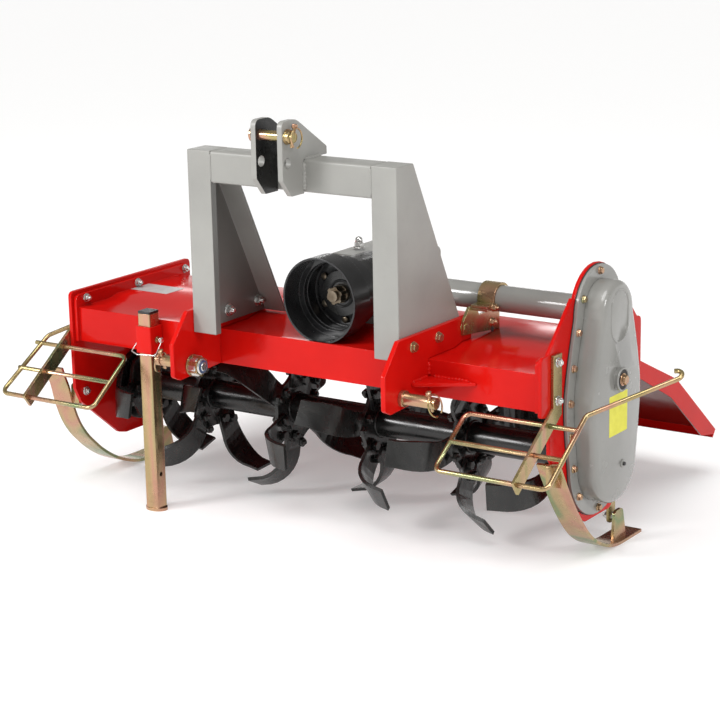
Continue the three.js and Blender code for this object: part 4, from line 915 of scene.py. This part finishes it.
def mast_welds():
    """Beads round the ears' feet and where the beam meets the legs."""
    low, high = BEAM_LOW, BEAM_HIGH
    bm = bmesh.new()
    for x in (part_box("left_mast_ear")[0].x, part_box("right_mast_ear")[1].x):
        weld(bm, Vector((x, low.y + 4 * MM, high.z)), Vector((x, high.y - 3 * MM, high.z)), *BIG_BEAD)
        weld(bm, Vector((x, low.y, low.z + 4 * MM)), Vector((x, low.y, high.z - 5 * MM)), *BIG_BEAD)
    for x in (low.x, high.x):
        front = low.y + 1 * MM
        weld(bm, Vector((x, front, low.z + 6 * MM)), Vector((x, front, high.z - 6 * MM)), *THIN_BEAD)
        weld(bm, Vector((x, low.y + 6 * MM, low.z)), Vector((x, high.y - 4 * MM, low.z)), *THIN_BEAD)
    piece("mast_welds", bm, GREY, smooth_deg=60)


def deck_welds():
    """Beads along the gussets and where the hitch plates meet the deck's front."""
    bm = bmesh.new()
    for node, side in (("left_gusset", -1), ("right_gusset", 1)):
        low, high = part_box(node)
        near, far = (high.x, low.x) if side < 0 else (low.x, high.x)
        top = high.z
        weld(bm, Vector((near, low.y + 4 * MM, top)), Vector((near, high.y - 6 * MM, top)), *PLATE_BEAD)
        start = Vector((near + side * 12 * MM, high.y, top))
        weld(bm, start, Vector((far - side * 16 * MM, high.y, top)), *PLATE_BEAD)
    front = DECK_LOW.y + 6.5 * MM
    for x in (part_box("left_hitch_plate")[0].x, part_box("right_hitch_plate")[1].x):
        start = Vector((x, front, DECK_LOW.z + 40 * MM))
        weld(bm, start, Vector((x, front, DECK_HIGH.z - 32 * MM)), *PLATE_BEAD)
    piece("deck_welds", bm, RED, smooth_deg=60)


def deck_label():
    """A blank plate on the deck's left side."""
    bm = bmesh.new()
    at = facing(spot(-548, 274, 394.05), Z)
    slab(bm, at, rounded_box(104, 60, 2), 0.25)
    piece("deck_label", bm, WHITE_LABEL)


mast_welds()
deck_welds()
deck_label()

# ---------------------------------------------------------------- camera, floor and light

# The photograph's view, with lengths in metres but for the lens.
CAMERA_AZIMUTH = math.radians(34.23)
CAMERA_ELEVATION = math.radians(14.52)
CAMERA_ROLL = math.radians(-1.15)
CAMERA_DISTANCE = 3.9
CAMERA_LENS_MM = 108.2
CAMERA_AIM = Vector((MAST_X + 0.14833, MAST_FRONT_Y - 0.0009, MAST_FOOT_Z - 0.00578))

# In metres, from the middle to an edge.
FLOOR_HALF = 60
# Name, place, aim, size in metres, power in watts.
SOFT_BOXES = [
    ("key", (-2.2, -3.4, 2.3), (0, 0, 0.3), 1.2, 100),
    ("side", (3.9, -1.2, 2.2), (0.3, 0, 0.3), 0.9, 42),
    ("window_right", (-2.1, 4.15, 1.6), (0.33, -0.1, 0.39), 0.24, 1.1),
    ("window_middle", (-2.99, 3.83, 1.57), (-0.1, -0.2, 0.39), 0.18, 0.6),
    ("window_left", (-3.65, 3.87, 1.55), (-0.42, -0.15, 0.39), 0.28, 0.9),
]


def make_camera():
    """The camera that looks at the tiller from the front and its drive side."""
    back = Vector((
        math.sin(CAMERA_AZIMUTH) * math.cos(CAMERA_ELEVATION),
        -math.cos(CAMERA_AZIMUTH) * math.cos(CAMERA_ELEVATION),
        math.sin(CAMERA_ELEVATION),
    ))
    right = (-back).cross(Z).normalized()
    up = right.cross(-back)
    turned_right = right * math.cos(CAMERA_ROLL) + up * math.sin(CAMERA_ROLL)
    turned_up = up * math.cos(CAMERA_ROLL) - right * math.sin(CAMERA_ROLL)
    camera = bpy.data.objects.new("camera", bpy.data.cameras.new("camera"))
    bpy.context.scene.collection.objects.link(camera)
    camera.data.lens = CAMERA_LENS_MM
    camera.data.sensor_width = 36
    place = Matrix((turned_right, turned_up, back)).transposed().to_4x4()
    place.translation = CAMERA_AIM + back * CAMERA_DISTANCE
    camera.matrix_world = place
    bpy.context.scene.camera = camera


def area_light(name, place, aim, size, power):
    """A square soft box at one place, facing another."""
    light = bpy.data.lights.new(name, "AREA")
    light.size = size
    light.energy = power
    holder = bpy.data.objects.new(name, light)
    bpy.context.scene.collection.objects.link(holder)
    holder.location = place
    holder.rotation_euler = (Vector(aim) - Vector(place)).to_track_quat("-Z", "Y").to_euler()


def make_sky():
    """A sky that is white at the horizon and grey above."""
    world = bpy.data.worlds.new("studio")
    world.use_nodes = True
    nodes, links = world.node_tree.nodes, world.node_tree.links
    direction = nodes.new("ShaderNodeTexCoord")
    upward = nodes.new("ShaderNodeSeparateXYZ")
    links.new(direction.outputs["Generated"], upward.inputs[0])
    sky = nodes.new("ShaderNodeValToRGB")
    horizon, above = sky.color_ramp.elements
    horizon.position, horizon.color = 0.06, (1.0, 1.0, 0.99, 1)
    above.position, above.color = 0.20, (0.34, 0.335, 0.326, 1)
    links.new(upward.outputs["Z"], sky.inputs["Fac"])
    links.new(sky.outputs["Color"], nodes["Background"].inputs["Color"])
    bpy.context.scene.world = world


def make_floor():
    """A pale floor that glows a little, so that it ends as white as the horizon."""
    mesh = bpy.data.meshes.new("floor")
    half = FLOOR_HALF
    corners = [(-half, -half, 0), (half, -half, 0), (half, half, 0), (-half, half, 0)]
    mesh.from_pydata(corners, [], [(0, 1, 2, 3)])
    floor = bpy.data.objects.new("floor", mesh)
    bpy.context.scene.collection.objects.link(floor)
    paint = bpy.data.materials.new("floor")
    paint.use_nodes = True
    shader = paint.node_tree.nodes["Principled BSDF"]
    shader.inputs["Base Color"].default_value = (0.74, 0.74, 0.74, 1)
    shader.inputs["Roughness"].default_value = 0.8
    shader.inputs["Specular IOR Level"].default_value = 0.1
    shader.inputs["Emission Color"].default_value = (1, 1, 1, 1)
    shader.inputs["Emission Strength"].default_value = 0.30
    mesh.materials.append(paint)


def make_lights():
    """A wide soft sun from the ceiling and the soft boxes."""
    sun = bpy.data.lights.new("ceiling", "SUN")
    sun.energy = 1.9
    sun.angle = math.radians(40)
    ceiling = bpy.data.objects.new("ceiling", sun)
    ceiling.rotation_euler = (math.radians(22), math.radians(8), 0)
    bpy.context.scene.collection.objects.link(ceiling)
    for box in SOFT_BOXES:
        area_light(*box)


make_camera()
make_sky()
make_floor()
make_lights()
bpy.context.scene.view_settings.view_transform = "Standard"
